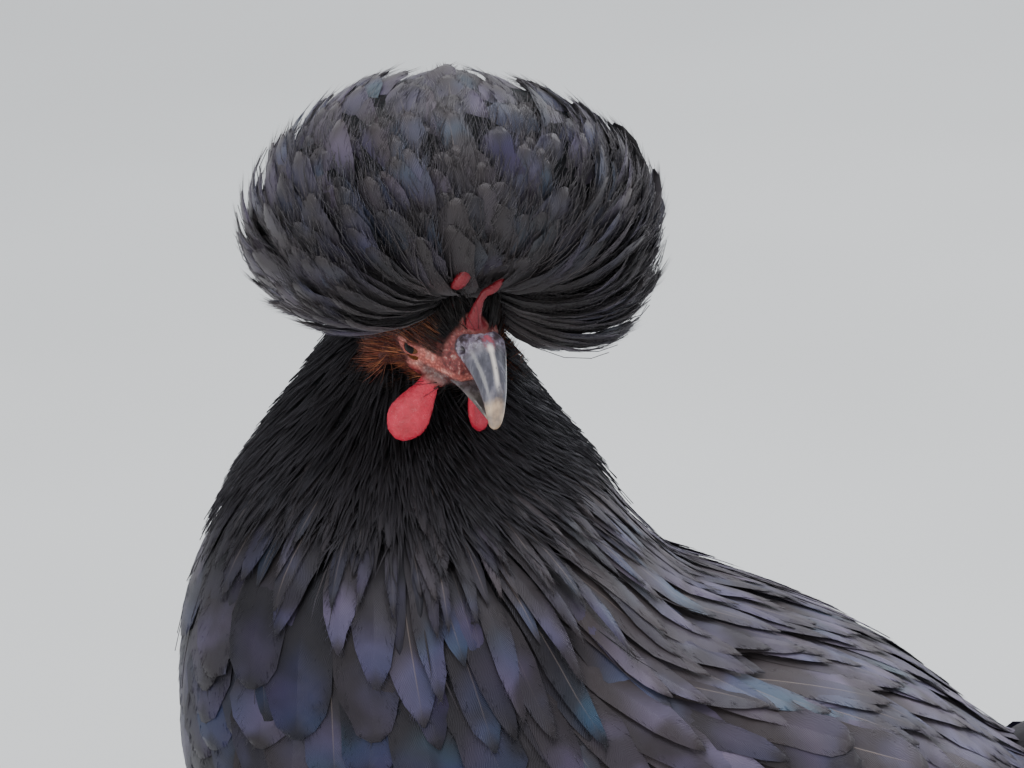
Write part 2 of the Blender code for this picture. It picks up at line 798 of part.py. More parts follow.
def make_tail(look):
    """The fleshy root, the tented main feathers with the middle pair on top, and the coverts over them."""
    directions = (Vector((0, 1, 0)), Vector((1, 0, 0)), Vector((0, 0, 1)))
    tail = ellipsoid("tail", TAIL_ROOT_PLACE, TAIL_ROOT_HALF, directions, look, 12, 8)
    feathers = []
    for tier, (count, first, step, length, shorter, lift, lower, half) in enumerate(TAIL_TIERS):
        for side in (1, -1):
            for k in range(count):
                fan = math.radians(first + step * k) * side
                over = lift - lower * k + (TAIL_LEFT_OVER_RIGHT if side > 0 else 0)
                name = f"tail_vane_{tier}_{side}_{k}"
                feathers.append(tail_vane(name, fan, length - shorter * k, half, over))
    join_pieces(tail, feathers)
    return tail


def make_thigh(side, name, look):
    top = Vector((THIGH_TOP.x * side, THIGH_TOP.y, THIGH_TOP.z))
    hock = Vector((HOCK.x * side, HOCK.y, HOCK.z))
    path = smooth_path([top, top.lerp(hock, 0.5) + Vector((0, -0.2, -0.3)), hock], 9)
    radii = [2.2, 3.2, 3.35, 3.1, 2.6, 2.0, 1.45, 1.0, 0.7]
    return rounded_rod(name, path, radii, look, 14, 0.8, Vector((1, 0, 0)))


def foot_place(side):
    return Vector((FOOT_X * side, FOOT_MIDDLE_Y, 0))


def make_shank(side, name, look):
    hock = Vector((HOCK.x * side, HOCK.y, HOCK.z))
    ankle = foot_place(side) + Vector((0, 0.25, BALL_HEIGHT))
    path = smooth_path([hock + Vector((0, 0, 0.6)), hock.lerp(ankle, 0.5) + Vector((0, 0.15, 0)), ankle], 9)
    radii = [0.62, 0.66, 0.58, 0.52, 0.5, 0.5, 0.52, 0.56, 0.5]
    return rounded_rod(name, path, radii, look, 10, 0.85, Vector((1, 0, 0)))


def toe_way(side, turn):
    """Direction of a toe on the ground, its turn measured outward from straight ahead."""
    angle = math.radians(turn)
    return Vector((math.sin(angle) * side, -math.cos(angle), 0))


def toe_path(side, length, turn):
    start = foot_place(side)
    way = toe_way(side, turn)
    high = BALL_HEIGHT * 0.6
    points = [start + Vector((0, 0, high)) + way * 0.1]
    for share, lift in ((0.2, 0.62), (0.45, 0.5), (0.6, 0.42), (0.8, 0.4), (1.0, 0.3)):
        points.append(start + way * length * share + Vector((0, 0, lift * TOE_RADIUS / 0.42)))
    return smooth_path(points, 8)


def make_foot(side, name, look):
    """Four toes with knuckled joints round a ball, flattened where they rest on the ground."""
    ball = ellipsoid(
        name,
        foot_place(side) + Vector((0, 0.1, 0.55)),
        (0.85, 0.85, 0.78),
        (Vector((1, 0, 0)), Vector((0, 1, 0)), Vector((0, 0, 1))),
        look,
        12,
        7,
    )
    toes = []
    for label, length, turn in TOES:
        path = toe_path(side, length, turn)
        radii = []
        for k in range(len(path)):
            share = k / (len(path) - 1)
            knuckle = 1 + 0.1 * math.cos(share * 5 * math.pi)
            radii.append(TOE_RADIUS * (1.12 - 0.42 * share) * knuckle)
        toes.append(rounded_rod("toe_" + label, path, radii, look, 7))
    join_pieces(ball, toes)
    ground = new_object(
        "ground",
        [Vector((x, y, z)) for x in (-20, 20) for y in (-20, 30) for z in (-5, 0)],
        [(0, 1, 3, 2), (4, 6, 7, 5), (0, 4, 5, 1), (2, 3, 7, 6), (0, 2, 6, 4), (1, 5, 7, 3)],
        None,
    )
    cut(ball, ground)
    bpy.data.objects.remove(ground)
    return ball


def make_claw(side, name, length, turn, look):
    way = toe_way(side, turn)
    tip = foot_place(side) + way * length + Vector((0, 0, 0.34))
    short = 0.8 if turn > 90 else 1.0
    points = [
        tip - way * 0.25,
        tip + way * 0.35 * short + Vector((0, 0, 0.04)),
        tip + way * 0.8 * short + Vector((0, 0, -0.04)),
        tip + way * (CLAW_LENGTH - 0.25) * short + Vector((0, 0, -0.24)),
    ]
    path = smooth_path(points, 5)
    radii = [0.2, 0.25, 0.2, 0.13, 0.035]
    return rounded_rod(name, path, radii, look, 5)


def recentre(objects):
    """Moves the whole hen so that the middle of her outline stands over the origin."""
    low, high = Vector((1e9,) * 3), Vector((-1e9,) * 3)
    for obj in objects:
        for v in obj.data.vertices:
            low = Vector(map(min, low, v.co))
            high = Vector(map(max, high, v.co))
    middle = (low + high) / 2
    shift = Matrix.Translation((-middle.x, -middle.y, 0))
    for obj in objects:
        obj.data.transform(shift)


def build():
    clear_scene()
    plumage = material("plumage", (0.018, 0.018, 0.024), 0.5)
    crest_look = material("crest_plumage", (0.022, 0.02, 0.028), 0.55)
    skin = material("face_skin", (0.45, 0.07, 0.05), 0.55)
    red = material("comb_red", (0.62, 0.05, 0.06), 0.45)
    horn = material("bill_horn", (0.2, 0.19, 0.2), 0.3)
    lobe = material("lobe", (0.42, 0.2, 0.17), 0.6)
    iris = material("eye", (0.12, 0.04, 0.015), 0.1)
    scale = material("leg_scale", (0.12, 0.13, 0.15), 0.5)
    nail = material("claw", (0.14, 0.13, 0.12), 0.4)

    torso = make_torso(plumage)
    torso_cutter = grown_copy(torso)
    neck = make_neck(plumage)
    neck_cutter = grown_copy(neck)
    cut(neck, torso_cutter)

    skull = make_skull(skin)
    eyes, eye_cutters = [], []
    for side, word in ((1, "left"), (-1, "right")):
        eye = make_eye(side, "eye_" + word, iris)
        eyes.append(eye)
        eye_cutters.append(grown_copy(eye))
    join_pieces(skull, [make_lids(1), make_lids(-1)])
    skull_cutter = grown_copy(skull)

    upper = bill("bill_upper", UPPER_BILL, horn)
    join_pieces(upper, [nostril_rim(1), nostril_rim(-1)])
    upper_cutter = grown_copy(upper)
    nostrils = [nostril_cutter(1), nostril_cutter(-1)]
    cut(upper, *nostrils)
    for obj in nostrils:
        bpy.data.objects.remove(obj)
    lower = bill("bill_lower", LOWER_BILL, horn, 0.7)
    lower_cutter = grown_copy(lower)
    cut(lower, upper_cutter)
    cut(skull, *eye_cutters, upper_cutter, lower_cutter, neck_cutter, torso_cutter)

    comb = make_horn("comb", HORN_LEFT, red)
    join_pieces(comb, [make_horn("horn", HORN_RIGHT, red)])
    comb_cutter = grown_copy(comb)
    cut(comb, skull_cutter, upper_cutter)

    soft = []
    for side, word in ((1, "left"), (-1, "right")):
        wattle = make_wattle(side, "wattle_" + word, red)
        cut(wattle, skull_cutter, lower_cutter, neck_cutter)
        ear = make_lobe(side, "lobe_" + word, lobe)
        ear_cutter = grown_copy(ear)
        cut(ear, skull_cutter)
        cut(wattle, ear_cutter)
        cut(neck, ear_cutter)
        soft += [wattle, ear, ear_cutter]

    lobe_cutters = [o for o in soft if o.name.endswith("_cutter")]
    make_crest(crest_look, [skull_cutter, upper_cutter, neck_cutter, comb_cutter, *lobe_cutters])

    wings = []
    for side, word in ((1, "left"), (-1, "right")):
        wing = make_wing(side, "wing_" + word, plumage)
        cut(wing, torso_cutter, neck_cutter)
        wings.append(wing)

    tail = make_tail(plumage)
    wing_cutters = [grown_copy(wing) for wing in wings]
    cut(tail, torso_cutter, *wing_cutters)

    limbs = []
    for side, word in ((1, "left"), (-1, "right")):
        thigh = make_thigh(side, "thigh_" + word, plumage)
        thigh_cutter = grown_copy(thigh)
        cut(thigh, torso_cutter)
        shank = make_shank(side, "shank_" + word, scale)
        shank_cutter = grown_copy(shank)
        cut(shank, thigh_cutter)
        foot = make_foot(side, "foot_" + word, scale)
        foot_cutter = grown_copy(foot)
        cut(foot, shank_cutter)
        limbs += [thigh, shank, foot]
        for label, length, turn in TOES:
            claw = make_claw(side, f"claw_{word}_{label}", length, turn, nail)
            cut(claw, foot_cutter)
            limbs.append(claw)
        for cutter in (thigh_cutter, shank_cutter, foot_cutter):
            bpy.data.objects.remove(cutter)

    for obj in list(bpy.data.objects):
        if obj.name.endswith("_cutter"):
            bpy.data.objects.remove(obj)
    nodes = list(bpy.context.scene.collection.objects)
    recentre(nodes)
    for obj in nodes:
        smooth(obj)


build()
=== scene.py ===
"""The looks of a black Polish crested hen that looks over her left side: skin, feathers, face and legs."""

import math

import bpy
import numpy as np
from mathutils import Matrix, Vector
from mathutils.bvhtree import BVHTree
from mathutils.kdtree import KDTree


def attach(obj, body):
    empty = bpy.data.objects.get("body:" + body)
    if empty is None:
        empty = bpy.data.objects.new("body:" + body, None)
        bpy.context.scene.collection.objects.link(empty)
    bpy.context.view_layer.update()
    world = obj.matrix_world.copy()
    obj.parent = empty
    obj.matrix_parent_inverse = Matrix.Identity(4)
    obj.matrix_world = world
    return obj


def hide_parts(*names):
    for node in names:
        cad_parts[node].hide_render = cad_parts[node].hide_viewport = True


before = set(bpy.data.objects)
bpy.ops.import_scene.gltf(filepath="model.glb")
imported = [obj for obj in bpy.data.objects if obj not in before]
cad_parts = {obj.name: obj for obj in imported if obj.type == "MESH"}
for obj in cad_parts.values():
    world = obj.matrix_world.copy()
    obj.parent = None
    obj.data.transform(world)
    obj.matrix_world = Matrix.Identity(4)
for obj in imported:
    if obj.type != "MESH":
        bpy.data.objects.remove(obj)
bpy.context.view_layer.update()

# Sizes are in centimetres, in the directions of the solids: breast to -Y, left side to +X, up +Z.
# Places on the head are local: forward along the bill, left, and up to the crown.
# STAND centres the whole over the origin. END_ON and UPRIGHT set a ball's poles along Y or Z.
CM = 0.01
STAND = np.array((0.0, -11.64, 0.0))
UP = np.array((0.0, 0.0, 1.0))
ACROSS = np.array((1.0, 0.0, 0.0))
END_ON = np.eye(3)[[1, 0, 2]]
UPRIGHT = np.eye(3)[[2, 0, 1]]

# head: its place, and how far it turns to the left, dips and leans
HEAD_MIDDLE = np.array((1.5, 0.03, 33.0))
HEAD_TURN = math.radians(106.5)
HEAD_PITCH = math.radians(14.1)
HEAD_ROLL = math.radians(6.1)

# body: Y place, lowest point, widest level, highest point, half width
TORSO = (
    (-8.15, 19.8, 21.2, 22.5, 1.3),
    (-7.4, 16.6, 21.0, 24.4, 3.5),
    (-5.8, 13.6, 20.4, 25.4, 5.5),
    (-3.0, 11.3, 19.6, 25.9, 7.2),
    (0.5, 10.1, 18.8, 25.9, 8.1),
    (4.0, 9.8, 18.2, 25.5, 8.4),
    (8.0, 10.4, 17.6, 24.3, 8.2),
    (11.7, 11.6, 17.2, 22.6, 7.5),
    (14.5, 13.0, 16.9, 21.0, 6.1),
    (16.6, 14.3, 16.7, 19.3, 4.5),
    (18.2, 15.2, 16.5, 17.9, 2.6),
)
TORSO_ROUNDNESS = 2.25
# neck: height, middle X, middle Y, half width along X and along Y
NECK = (
    (19.6, 0.2, -1.6, 4.6, 4.0),
    (21.4, 0.1, -0.6, 6.7, 7.1),
    (23.0, 0.0, 0.2, 7.5, 8.3),
    (24.6, 0.0, -0.15, 7.3, 7.6),
    (26.2, -0.1, -0.6, 6.4, 6.6),
    (27.8, -0.5, -0.65, 4.7, 5.7),
    (29.6, -1.1, -0.75, 2.9, 4.35),
    (31.4, -1.4, -0.6, 2.1, 3.1),
    (32.7, -1.6, -0.7, 1.6, 2.2),
    (33.6, -1.6, -0.8, 1.0, 1.2),
)
NECK_TOP = np.array((-0.9, -0.7, 33.5))
RUMP_MIDDLE = np.array((0.0, 18.0, 16.4))
RUMP_HALF = np.array((4.6, 2.3, 1.6))
# how far the skin lies inside the plumage, and the mesh size of skin, plumage form and face
COAT_DEPTH = 0.85
SKIN_GRAIN, FORM_GRAIN, FACE_GRAIN = 0.36, 0.3, 0.055

# skull: forward place, lowest point, widest level, highest point, half width
SKULL = (
    (-2.7, -0.9, -0.2, 0.5, 0.6),
    (-2.2, -1.5, -0.3, 1.1, 1.2),
    (-1.1, -1.9, -0.4, 1.6, 1.62),
    (0.1, -1.8, -0.4, 1.7, 1.55),
    (0.9, -1.5, -0.3, 1.5, 1.2),
    (1.6, -1.25, -0.2, 1.15, 0.85),
    (2.0, -1.1, -0.15, 0.85, 0.6),
)
SKULL_ROUNDNESS = 2.1
THROAT_CUT = 29.0

# eyes look out sideways and a little forward; the lids leave an almond open
EYE = np.array((0.25, 0.98, -0.5))
EYE_RADIUS = 0.55
EYE_FORWARD = 0.25
CORNEA_RADIUS, CORNEA_RISE = 0.34, 0.05
LID_OPEN = (0.35, 0.11)
LID_THICK = 0.06
LID_INNER = 0.05

# bill halves: forward, up, half width, height
UPPER_BILL = (
    (1.4, 0.22, 0.7, 0.66),
    (2.0, 0.18, 0.72, 0.66),
    (2.5, 0.02, 0.64, 0.52),
    (3.0, -0.3, 0.5, 0.4),
    (3.4, -0.7, 0.37, 0.3),
    (3.64, -1.1, 0.27, 0.22),
    (3.73, -1.36, 0.18, 0.15),
    (3.74, -1.46, 0.07, 0.06),
)
LOWER_BILL = (
    (1.3, -0.95, 0.66, 0.3),
    (2.0, -0.93, 0.52, 0.27),
    (2.7, -1.05, 0.36, 0.2),
    (3.2, -1.22, 0.2, 0.14),
    (3.42, -1.34, 0.08, 0.07),
)
# where the bill's tones start, and how far forward they run
BILL_BASE, BILL_REACH = 1.4, 2.4
NOSTRIL = np.array((2.02, 0.52, 0.42))

# horns of the comb: forward, left, up and radius
HORN_LEFT = (
    (1.75, -0.2, 0.75, 0.3),
    (1.85, -0.36, 1.3, 0.24),
    (1.85, -0.34, 1.85, 0.14),
    (1.84, -0.22, 2.13, 0.14),
    (1.82, 0.08, 2.34, 0.16),
    (1.78, 0.38, 2.66, 0.07),
)
HORN_RIGHT = (
    (0.8, -0.35, 0.9, 0.2),
    (0.6, -0.65, 1.55, 0.14),
    (1.2, -1.15, 2.3, 0.13),
    (2.02, -1.36, 2.58, 0.19),
    (2.08, -1.25, 2.9, 0.23),
    (2.06, -1.03, 3.28, 0.12),
)

# wattles: drop and outward swing of the left one and the right one
WATTLE_PLACE = np.array((1.0, 0.78, -1.2))
WATTLES = ((1.85, 0.1), (2.2, 0.62))
WATTLE_WIDTH = 0.7
WATTLE_THICKNESS = 0.17
WATTLE_TURN = math.radians(52)
WATTLE_ROOT = 0.45
# ear lobes and the swellings below the mouth's corners: middle and half sizes
LOBE_PLACE = np.array((-1.0, 1.6, -1.35))
LOBE_HALF = (0.5, 0.22, 0.68)
CHEEK_PLACE = np.array((0.75, 0.62, -1.15))
CHEEK_HALF = (0.75, 0.42, 0.32)

# crest: half sizes round its middle, from the pole where it parts over the bill
CREST_MIDDLE = np.array((-0.9, 0.35, 2.95))
CREST_POLE = np.array((0.671, 0.0, -0.741))
CREST_FRONT = np.array((0.741, 0.0, 0.671))
CREST_SIDEWAYS = np.array((0.0, 1.0, 0.0))
CREST_FORWARD, CREST_BACK = 3.3, 5.2
CREST_SIDE = 6.6
CREST_UP, CREST_DOWN = 4.55, 4.3
CREST_NAPE_DROP = 3.0
CREST_ROLL = math.radians(-9)
CREST_CORE = (0.48, 0.93)
CREST_BEND = math.radians(75)
# how far forward the crest reaches behind the comb, and the middle and top of that hollow
HOLLOW_FRONT, HOLLOW_LEFT, HOLLOW_TOP = 1.3, -0.3, 2.5

# folded wing: Y place, lowest and highest angle round the body
WING_EDGES = (
    (-3.2, 6, 22),
    (-1.5, -12, 42),
    (2.0, -20, 52),
    (8.0, -26, 52),
    (13.0, -36, 44),
    (16.5, -34, 30),
    (18.6, -20, 4),
)
WING_FIRST, WING_LAST = -3.2, 10.5
WING_TORSO_END = 17.4
# the folded wing's thickness off the body, the share of it that shows, and the step between its feathers
WING_BULGE, WING_SHOWN = 0.95, 0.85
WING_STEP = 0.014

# tented tail: half width, rise of the ridge and level, each at the base and its growth backwards
TAIL_BASE_Y = 17.0
TAIL_HALF = (1.5, 0.24)
TAIL_RISE = (0.6, 0.22)
TAIL_LEVEL = (16.7, 0.1, 0.004)

# legs; each toe has its name, length and turn from straight ahead in degrees
FOOT_X, FOOT_Y = 4.6, 4.4
TOE_RADIUS = 0.42
BALL_HEIGHT = 1.1
HOCK = np.array((4.3, 6.6, 8.6))
THIGH_TOP = np.array((4.3, 3.2, 14.8))
THIGH_RADII = (2.2, 3.2, 3.35, 3.1, 2.6, 2.0, 1.45, 1.0, 0.7)
SHANK_RADII = (0.62, 0.66, 0.58, 0.52, 0.5, 0.5, 0.52, 0.56, 0.5)
TOES = (("middle", 6.3, 2), ("outer", 4.9, 38), ("inner", 4.5, -34), ("rear", 2.4, 172))
# parts of a toe's length, and how high its middle line is there
TOE_LIFTS = ((0.2, 0.62), (0.45, 0.5), (0.6, 0.42), (0.8, 0.4), (1.0, 0.3))
CLAW_LENGTH = 1.35

# coat: radius of barbs and bristles, the most bristles and neck hairs, and a tuft's size on the map
BARB_RADIUS = 0.012
BRISTLE_RADIUS = 0.0145
BRISTLES = 9600
HAIR_LIMIT = 9500
PATCH = 0.003

# colours of the plumage: dark and brownish ground, barb shine, shaft, and the dark down at the roots with
# painted shade where each root lies under the feathers above
DARK_GROUND, BROWN_GROUND = (0.0054, 0.0051, 0.0055), (0.044, 0.034, 0.033)
BARB_SHINE = (0.045, 0.041, 0.05)
SHAFT = (0.19, 0.15, 0.13)
DOWN_AND_ROOT_SHADE = (0.004, 0.004, 0.0045)

# studio, in metres: the camera's ways and place, and the lights
CAMERA_RIGHT = Vector((0.1736, 0.9848, 0.0))
CAMERA_UP = Vector((-0.3043, 0.0537, 0.9511))
CAMERA_BACK = Vector((0.9366, -0.1651, 0.3090))
CAMERA_TARGET = Vector((0.0235, -0.0988, 0.3130))
CAMERA_DISTANCE = 2.5
CAMERA_LENS, CAMERA_SENSOR = 290, 36
LIGHT_AIM = (0.0, -0.05, 0.28)
# name, place, size, power, colour
LIGHTS = (
    ("top_light", (0.3, -0.1, 2.2), 1.6, 42, (0.95, 0.97, 1.0)),
    ("front_light", (1.9, -1.5, 1.3), 1.3, 26, (1.0, 0.98, 0.95)),
    ("rear_light", (-1.0, 1.6, 1.3), 1.2, 22, (0.92, 0.95, 1.0)),
)
SKY, SKY_STRENGTH = (0.86, 0.9, 0.95), 0.75
FLOOR_SIZE = 6


# helpers for shapes


def curve(rows, at):
    """Smooth values of the rows' other columns at values of their first column."""
    rows = np.asarray(rows, float)
    at = np.clip(np.asarray(at, float), rows[0, 0], rows[-1, 0])
    k = np.clip(np.searchsorted(rows[:, 0], at, side="right") - 1, 0, len(rows) - 2)
    before, after = np.maximum(k - 1, 0), np.minimum(k + 2, len(rows) - 1)
    x, y = rows[:, 0], rows[:, 1:]
    span = (x[k + 1] - x[k])[..., None]
    t = ((at - x[k])[..., None]) / span
    slope_in = (y[k + 1] - y[before]) / (x[k + 1] - x[before])[..., None] * span
    slope_out = (y[after] - y[k]) / (x[after] - x[k])[..., None] * span
    a = 2 * t**3 - 3 * t**2 + 1
    return a * y[k] + (t**3 - 2 * t**2 + t) * slope_in + (1 - a) * y[k + 1] + (t**3 - t**2) * slope_out


def stacked(*columns):
    """The columns, or plain numbers, side by side as the last axis."""
    return np.stack(np.broadcast_arrays(*columns), -1)


def unit(ways):
    """The same ways at length one."""
    return ways / np.maximum(np.linalg.norm(ways, axis=-1, keepdims=True), 1e-9)


def step(low, high, value):
    """A soft step from 0 at low to 1 at high, downwards where high is the lower one."""
    t = np.clip((value - low) / (high - low), 0, 1)
    return t * t * (3 - 2 * t)


def squircle(angle, power):
    """Across and up of an outline that is fuller than an ellipse where the power is over two."""
    c, s = np.cos(angle), np.sin(angle)
    return np.sign(c) * np.abs(c) ** (2 / power), np.sign(s) * np.abs(s) ** (2 / power)


def head_axes():
    """Forward, left and up of the head after its turn, dip and lean."""
    heading = np.array((math.sin(HEAD_TURN), -math.cos(HEAD_TURN), 0.0))
    left = np.cross(UP, heading)
    forward = heading * math.cos(HEAD_PITCH) - UP * math.sin(HEAD_PITCH)
    crown = heading * math.sin(HEAD_PITCH) + UP * math.cos(HEAD_PITCH)
    leaning = crown * math.cos(HEAD_ROLL) + left * math.sin(HEAD_ROLL)
    sideways = left * math.cos(HEAD_ROLL) - crown * math.sin(HEAD_ROLL)
    return np.array((forward, sideways, leaning))


HEAD = head_axes()


def mirrored(place, side):
    """A place of the head's left side, or the one across from it on the right."""
    return np.asarray(place) * (1, side, 1)


def eye_way(side):
    """The way an eye looks, in the head's own directions."""
    return unit(np.array((EYE_FORWARD, float(side), 0.0)))


def on_head(places):
    """Where local places of the head are in the body's directions."""
    return HEAD_MIDDLE + np.asarray(places, float) @ HEAD


def from_head(points):
    """Local places on the head: forward, left and up."""
    return (points - HEAD_MIDDLE) @ HEAD.T


def torso_point(y, angle, lift=0.0):
    """A point of the torso at a Y place and an angle round it, lifted off its surface."""
    low, level, high, half = np.moveaxis(curve(TORSO, y), -1, 0)
    c, s = squircle(angle, TORSO_ROUNDNESS)
    reach = np.where(s > 0, high - level, level - low)
    flat = stacked(half * c, y, level + reach * s)
    out = unit(stacked(c / half, 0, s / reach))
    return flat + out * np.asarray(lift)[..., None]


def torso_surface(inset):
    """The torso, drawn in by inset all round and at both ends."""
    first, last = TORSO[0][0] + 1.3 * inset, TORSO[-1][0] - 1.3 * inset

    def place(u, v):
        y = first + (last - first) * (1 - np.cos(np.pi * v)) / 2
        return torso_point(y, 2 * np.pi * u, -inset)

    return place


def neck_surface(inset):
    """The neck from the shoulders to the skull, drawn in by inset."""
    low, high = NECK[0][0], NECK[-1][0]

    def place(u, v):
        z = low + (high - low) * v
        middle_x, middle_y, half_x, half_y = np.moveaxis(curve(NECK, z), -1, 0)
        less = np.minimum(inset, 0.35 * half_x)
        x = middle_x + (half_x - less) * np.cos(2 * np.pi * u)
        y = middle_y + (half_y - less) * np.sin(2 * np.pi * u)
        return stacked(x, y, z)

    return place


def skull_surface(u, v):
    """The skull, with its flat base and full sides."""
    f = SKULL[0][0] + (SKULL[-1][0] - SKULL[0][0]) * (1 - np.cos(np.pi * v)) / 2
    low, level, high, half = np.moveaxis(curve(SKULL, f), -1, 0)
    c, s = squircle(2 * np.pi * u, SKULL_ROUNDNESS)
    reach = np.where(s > 0, high - level, level - low)
    return on_head(stacked(f, half * c, level + reach * s))


def ball_surface(place, half, axes):
    """An ellipsoid with these half sizes along the three axes."""

    def point(u, v):
        polar, turn = np.pi * np.clip(v, 0.02, 0.98), 2 * np.pi * u
        local = stacked(np.cos(polar), np.sin(polar) * np.cos(turn), np.sin(polar) * np.sin(turn))
        return place + (local * half) @ np.asarray(axes)

    return point


def rod_surface(points, radii, flatten=1.0, flat_way=UP, ripple=None):
    """A rod round a smooth line through the points, thinner along flat_way by flatten."""
    rows = [(i, *p, r) for i, (p, r) in enumerate(zip(points, radii))]
    last = len(rows) - 1

    def place(u, v):
        now = curve(rows, v * last)
        ahead = curve(rows, np.minimum(v + 0.02, 1) * last) - curve(rows, np.maximum(v - 0.02, 0) * last)
        ahead = unit(ahead[..., :3])
        side = unit(np.cross(ahead, flat_way))
        thin = np.cross(side, ahead)
        radius = now[..., 3]
        if ripple is not None:
            radius = radius * ripple(u, v)
        angle = 2 * np.pi * u
        reach = side * np.cos(angle)[..., None] + thin * (flatten * np.sin(angle))[..., None]
        return now[..., :3] + reach * radius[..., None]

    return place


def wattle_frame(side):
    """The root of a wattle, its hanging, wide and thin ways, and its drop."""
    root = on_head(mirrored(WATTLE_PLACE, side))
    drop, spread = WATTLES[0 if side > 0 else 1]
    swing = unit(HEAD[1] * side * spread - HEAD[0] * 0.1 - UP)
    turned = HEAD[0] * math.cos(WATTLE_TURN) - HEAD[1] * side * math.sin(WATTLE_TURN)
    wide = unit(turned - swing * np.dot(turned, swing))
    return root, swing, wide, np.cross(swing, wide), drop


def on_wattle(points):
    """How surely places of the head lie on a wattle."""
    share = np.zeros(len(points))
    for side in (1, -1):
        root, swing, wide, thick, drop = wattle_frame(side)
        rel = points - root
        along = rel @ swing
        near = step(0.95, 0.8, np.abs(rel @ wide)) * step(0.5, 0.36, np.abs(rel @ thick))
        share = np.maximum(share, near * step(-0.1, 0.3, along) * step(drop + 0.16, drop + 0.06, along))
    return share


def on_comb(local):
    """How surely local places of the head lie on a horn of the comb."""
    share = np.zeros(len(local))
    for horn in (HORN_LEFT, HORN_RIGHT):
        rows = [(i, *row) for i, row in enumerate(horn)]
        line = curve(rows, np.linspace(0, len(horn) - 1, 24))
        gap = np.linalg.norm(local[:, None] - line[None, :, :3], axis=2) - line[None, :, 3]
        share = np.maximum(share, step(0.24, 0.1, gap.min(1)))
    return share * step(0.75, 1.0, local[:, 2])


def wattle_surface(side):
    """A hanging paddle with a narrow root and a round, slightly rolled lower edge."""
    root, swing, wide, thick, drop = wattle_frame(side)

    def place(u, v):
        along = v * (drop + WATTLE_ROOT) - WATTLE_ROOT
        half = WATTLE_WIDTH * (0.28 + 0.72 * np.sin(np.minimum(v * 1.2, 1.0) * np.pi / 2) ** 2)
        half = half * np.sqrt(np.maximum(1 - np.maximum((v - 0.62) / 0.385, 0) ** 2, 0.02))
        depth = WATTLE_THICKNESS * (1.35 - 0.35 * v) * np.minimum(half / WATTLE_WIDTH + 0.35, 1.0)
        angle = 2 * np.pi * u
        bow = 0.12 * np.sin(np.pi * v) - 0.1 * (half * np.cos(angle)) ** 2
        across = wide * (half * np.cos(angle))[..., None]
        return root + swing * along[..., None] + across + thick * (depth * np.sin(angle) + bow)[..., None]

    return place


def bill_surface(sections, hump, shape=None):
    """A half of the bill, its rings set square to its bending middle line."""
    rows = [(i, *row) for i, row in enumerate(sections)]
    last = len(rows) - 1

    def place(u, v):
        now = curve(rows, v * last)
        ahead = curve(rows, np.minimum(v + 0.03, 1) * last) - curve(rows, np.maximum(v - 0.03, 0) * last)
        ahead = unit(ahead[..., :2])
        c, s = squircle(2 * np.pi * u, 2.0)
        lifted = s * now[..., 3] * np.where(s > 0, hump, 0.55)
        forward, up = now[..., 0] - ahead[..., 1] * lifted, now[..., 1] + ahead[..., 0] * lifted
        local = stacked(forward, now[..., 2] * c, up)
        if shape is not None:
            local = shape(local)
        return on_head(local)

    return place


def crest_point(polar, turn, reach=1.0):
    """A point of the crest: polar is the angle from the opening over the bill, turn the angle round it."""
    way = (
        CREST_POLE * np.cos(polar)[..., None]
        + CREST_FRONT * (np.sin(polar) * np.cos(turn))[..., None]
        + CREST_SIDEWAYS * (np.sin(polar) * np.sin(turn))[..., None]
    )
    power = 2.8 - 0.7 * step(-0.25, 0.25, way[..., 2])
    fullness = np.sum(np.abs(way) ** power[..., None], axis=-1) ** (-1 / power) * reach
    depth = np.where(way[..., 0] > 0, CREST_FORWARD, CREST_BACK)
    drop = CREST_DOWN + CREST_NAPE_DROP * np.maximum(-way[..., 0], 0)
    height = np.where(way[..., 2] > 0, CREST_UP, drop)
    place = stacked(way[..., 0] * depth, way[..., 1] * CREST_SIDE, way[..., 2] * height)
    forward, left, up = np.moveaxis(place * fullness[..., None], -1, 0)
    c, s = math.cos(CREST_ROLL), math.sin(CREST_ROLL)
    rolled = stacked(forward, left * c - up * s, left * s + up * c)
    return on_head(CREST_MIDDLE + rolled)


def hollowed(local):
    """Presses points of the crest, in head places, back behind the comb."""
    limit = HOLLOW_FRONT + 0.45 * (local[..., 1] - HOLLOW_LEFT) ** 2
    limit = limit + 0.9 * np.maximum(local[..., 2] - HOLLOW_TOP, 0) ** 1.2
    forward = np.where(local[..., 0] > limit, limit + 0.12 * (local[..., 0] - limit), local[..., 0])
    return stacked(forward, local[..., 1], local[..., 2])


def over_the_face(local):
    """Whether points of the crest, in head places, would hide the face or the comb."""
    forward, left, up = local[..., 0], np.abs(local[..., 1]), local[..., 2]
    over = (forward > -2.4) & (left < 2.3) & (up < 1.3 + 0.45 * np.maximum(forward, 0))
    return over | ((forward > -1.0) & (up < -0.9))


def wing_point(side, y, share, lift):
    """A point of the wing: share runs from its lower edge to its upper one, lift is off the body."""
    y, share = np.broadcast_arrays(np.asarray(y, float), np.asarray(share, float))
    low, high = np.moveaxis(np.radians(curve(WING_EDGES, y)), -1, 0)
    shown = np.minimum(y, WING_TORSO_END)
    point = torso_point(shown, low + (high - low) * share, lift)
    point[..., 1] += y - shown
    return point * (side, 1, 1)


def wing_bulge(y, share):
    """How far the folded wing's own thickness stands off the body."""
    depth = np.clip((y - WING_FIRST) / (WING_LAST - WING_FIRST), 0, 1)
    bulge = WING_BULGE * np.sqrt(np.maximum(1 - (1.6 * depth - 0.8) ** 2, 0)) * (1 - 0.55 * depth)
    return bulge * np.sin(np.pi * np.clip(share, 0.0, 1.0)) ** 0.6


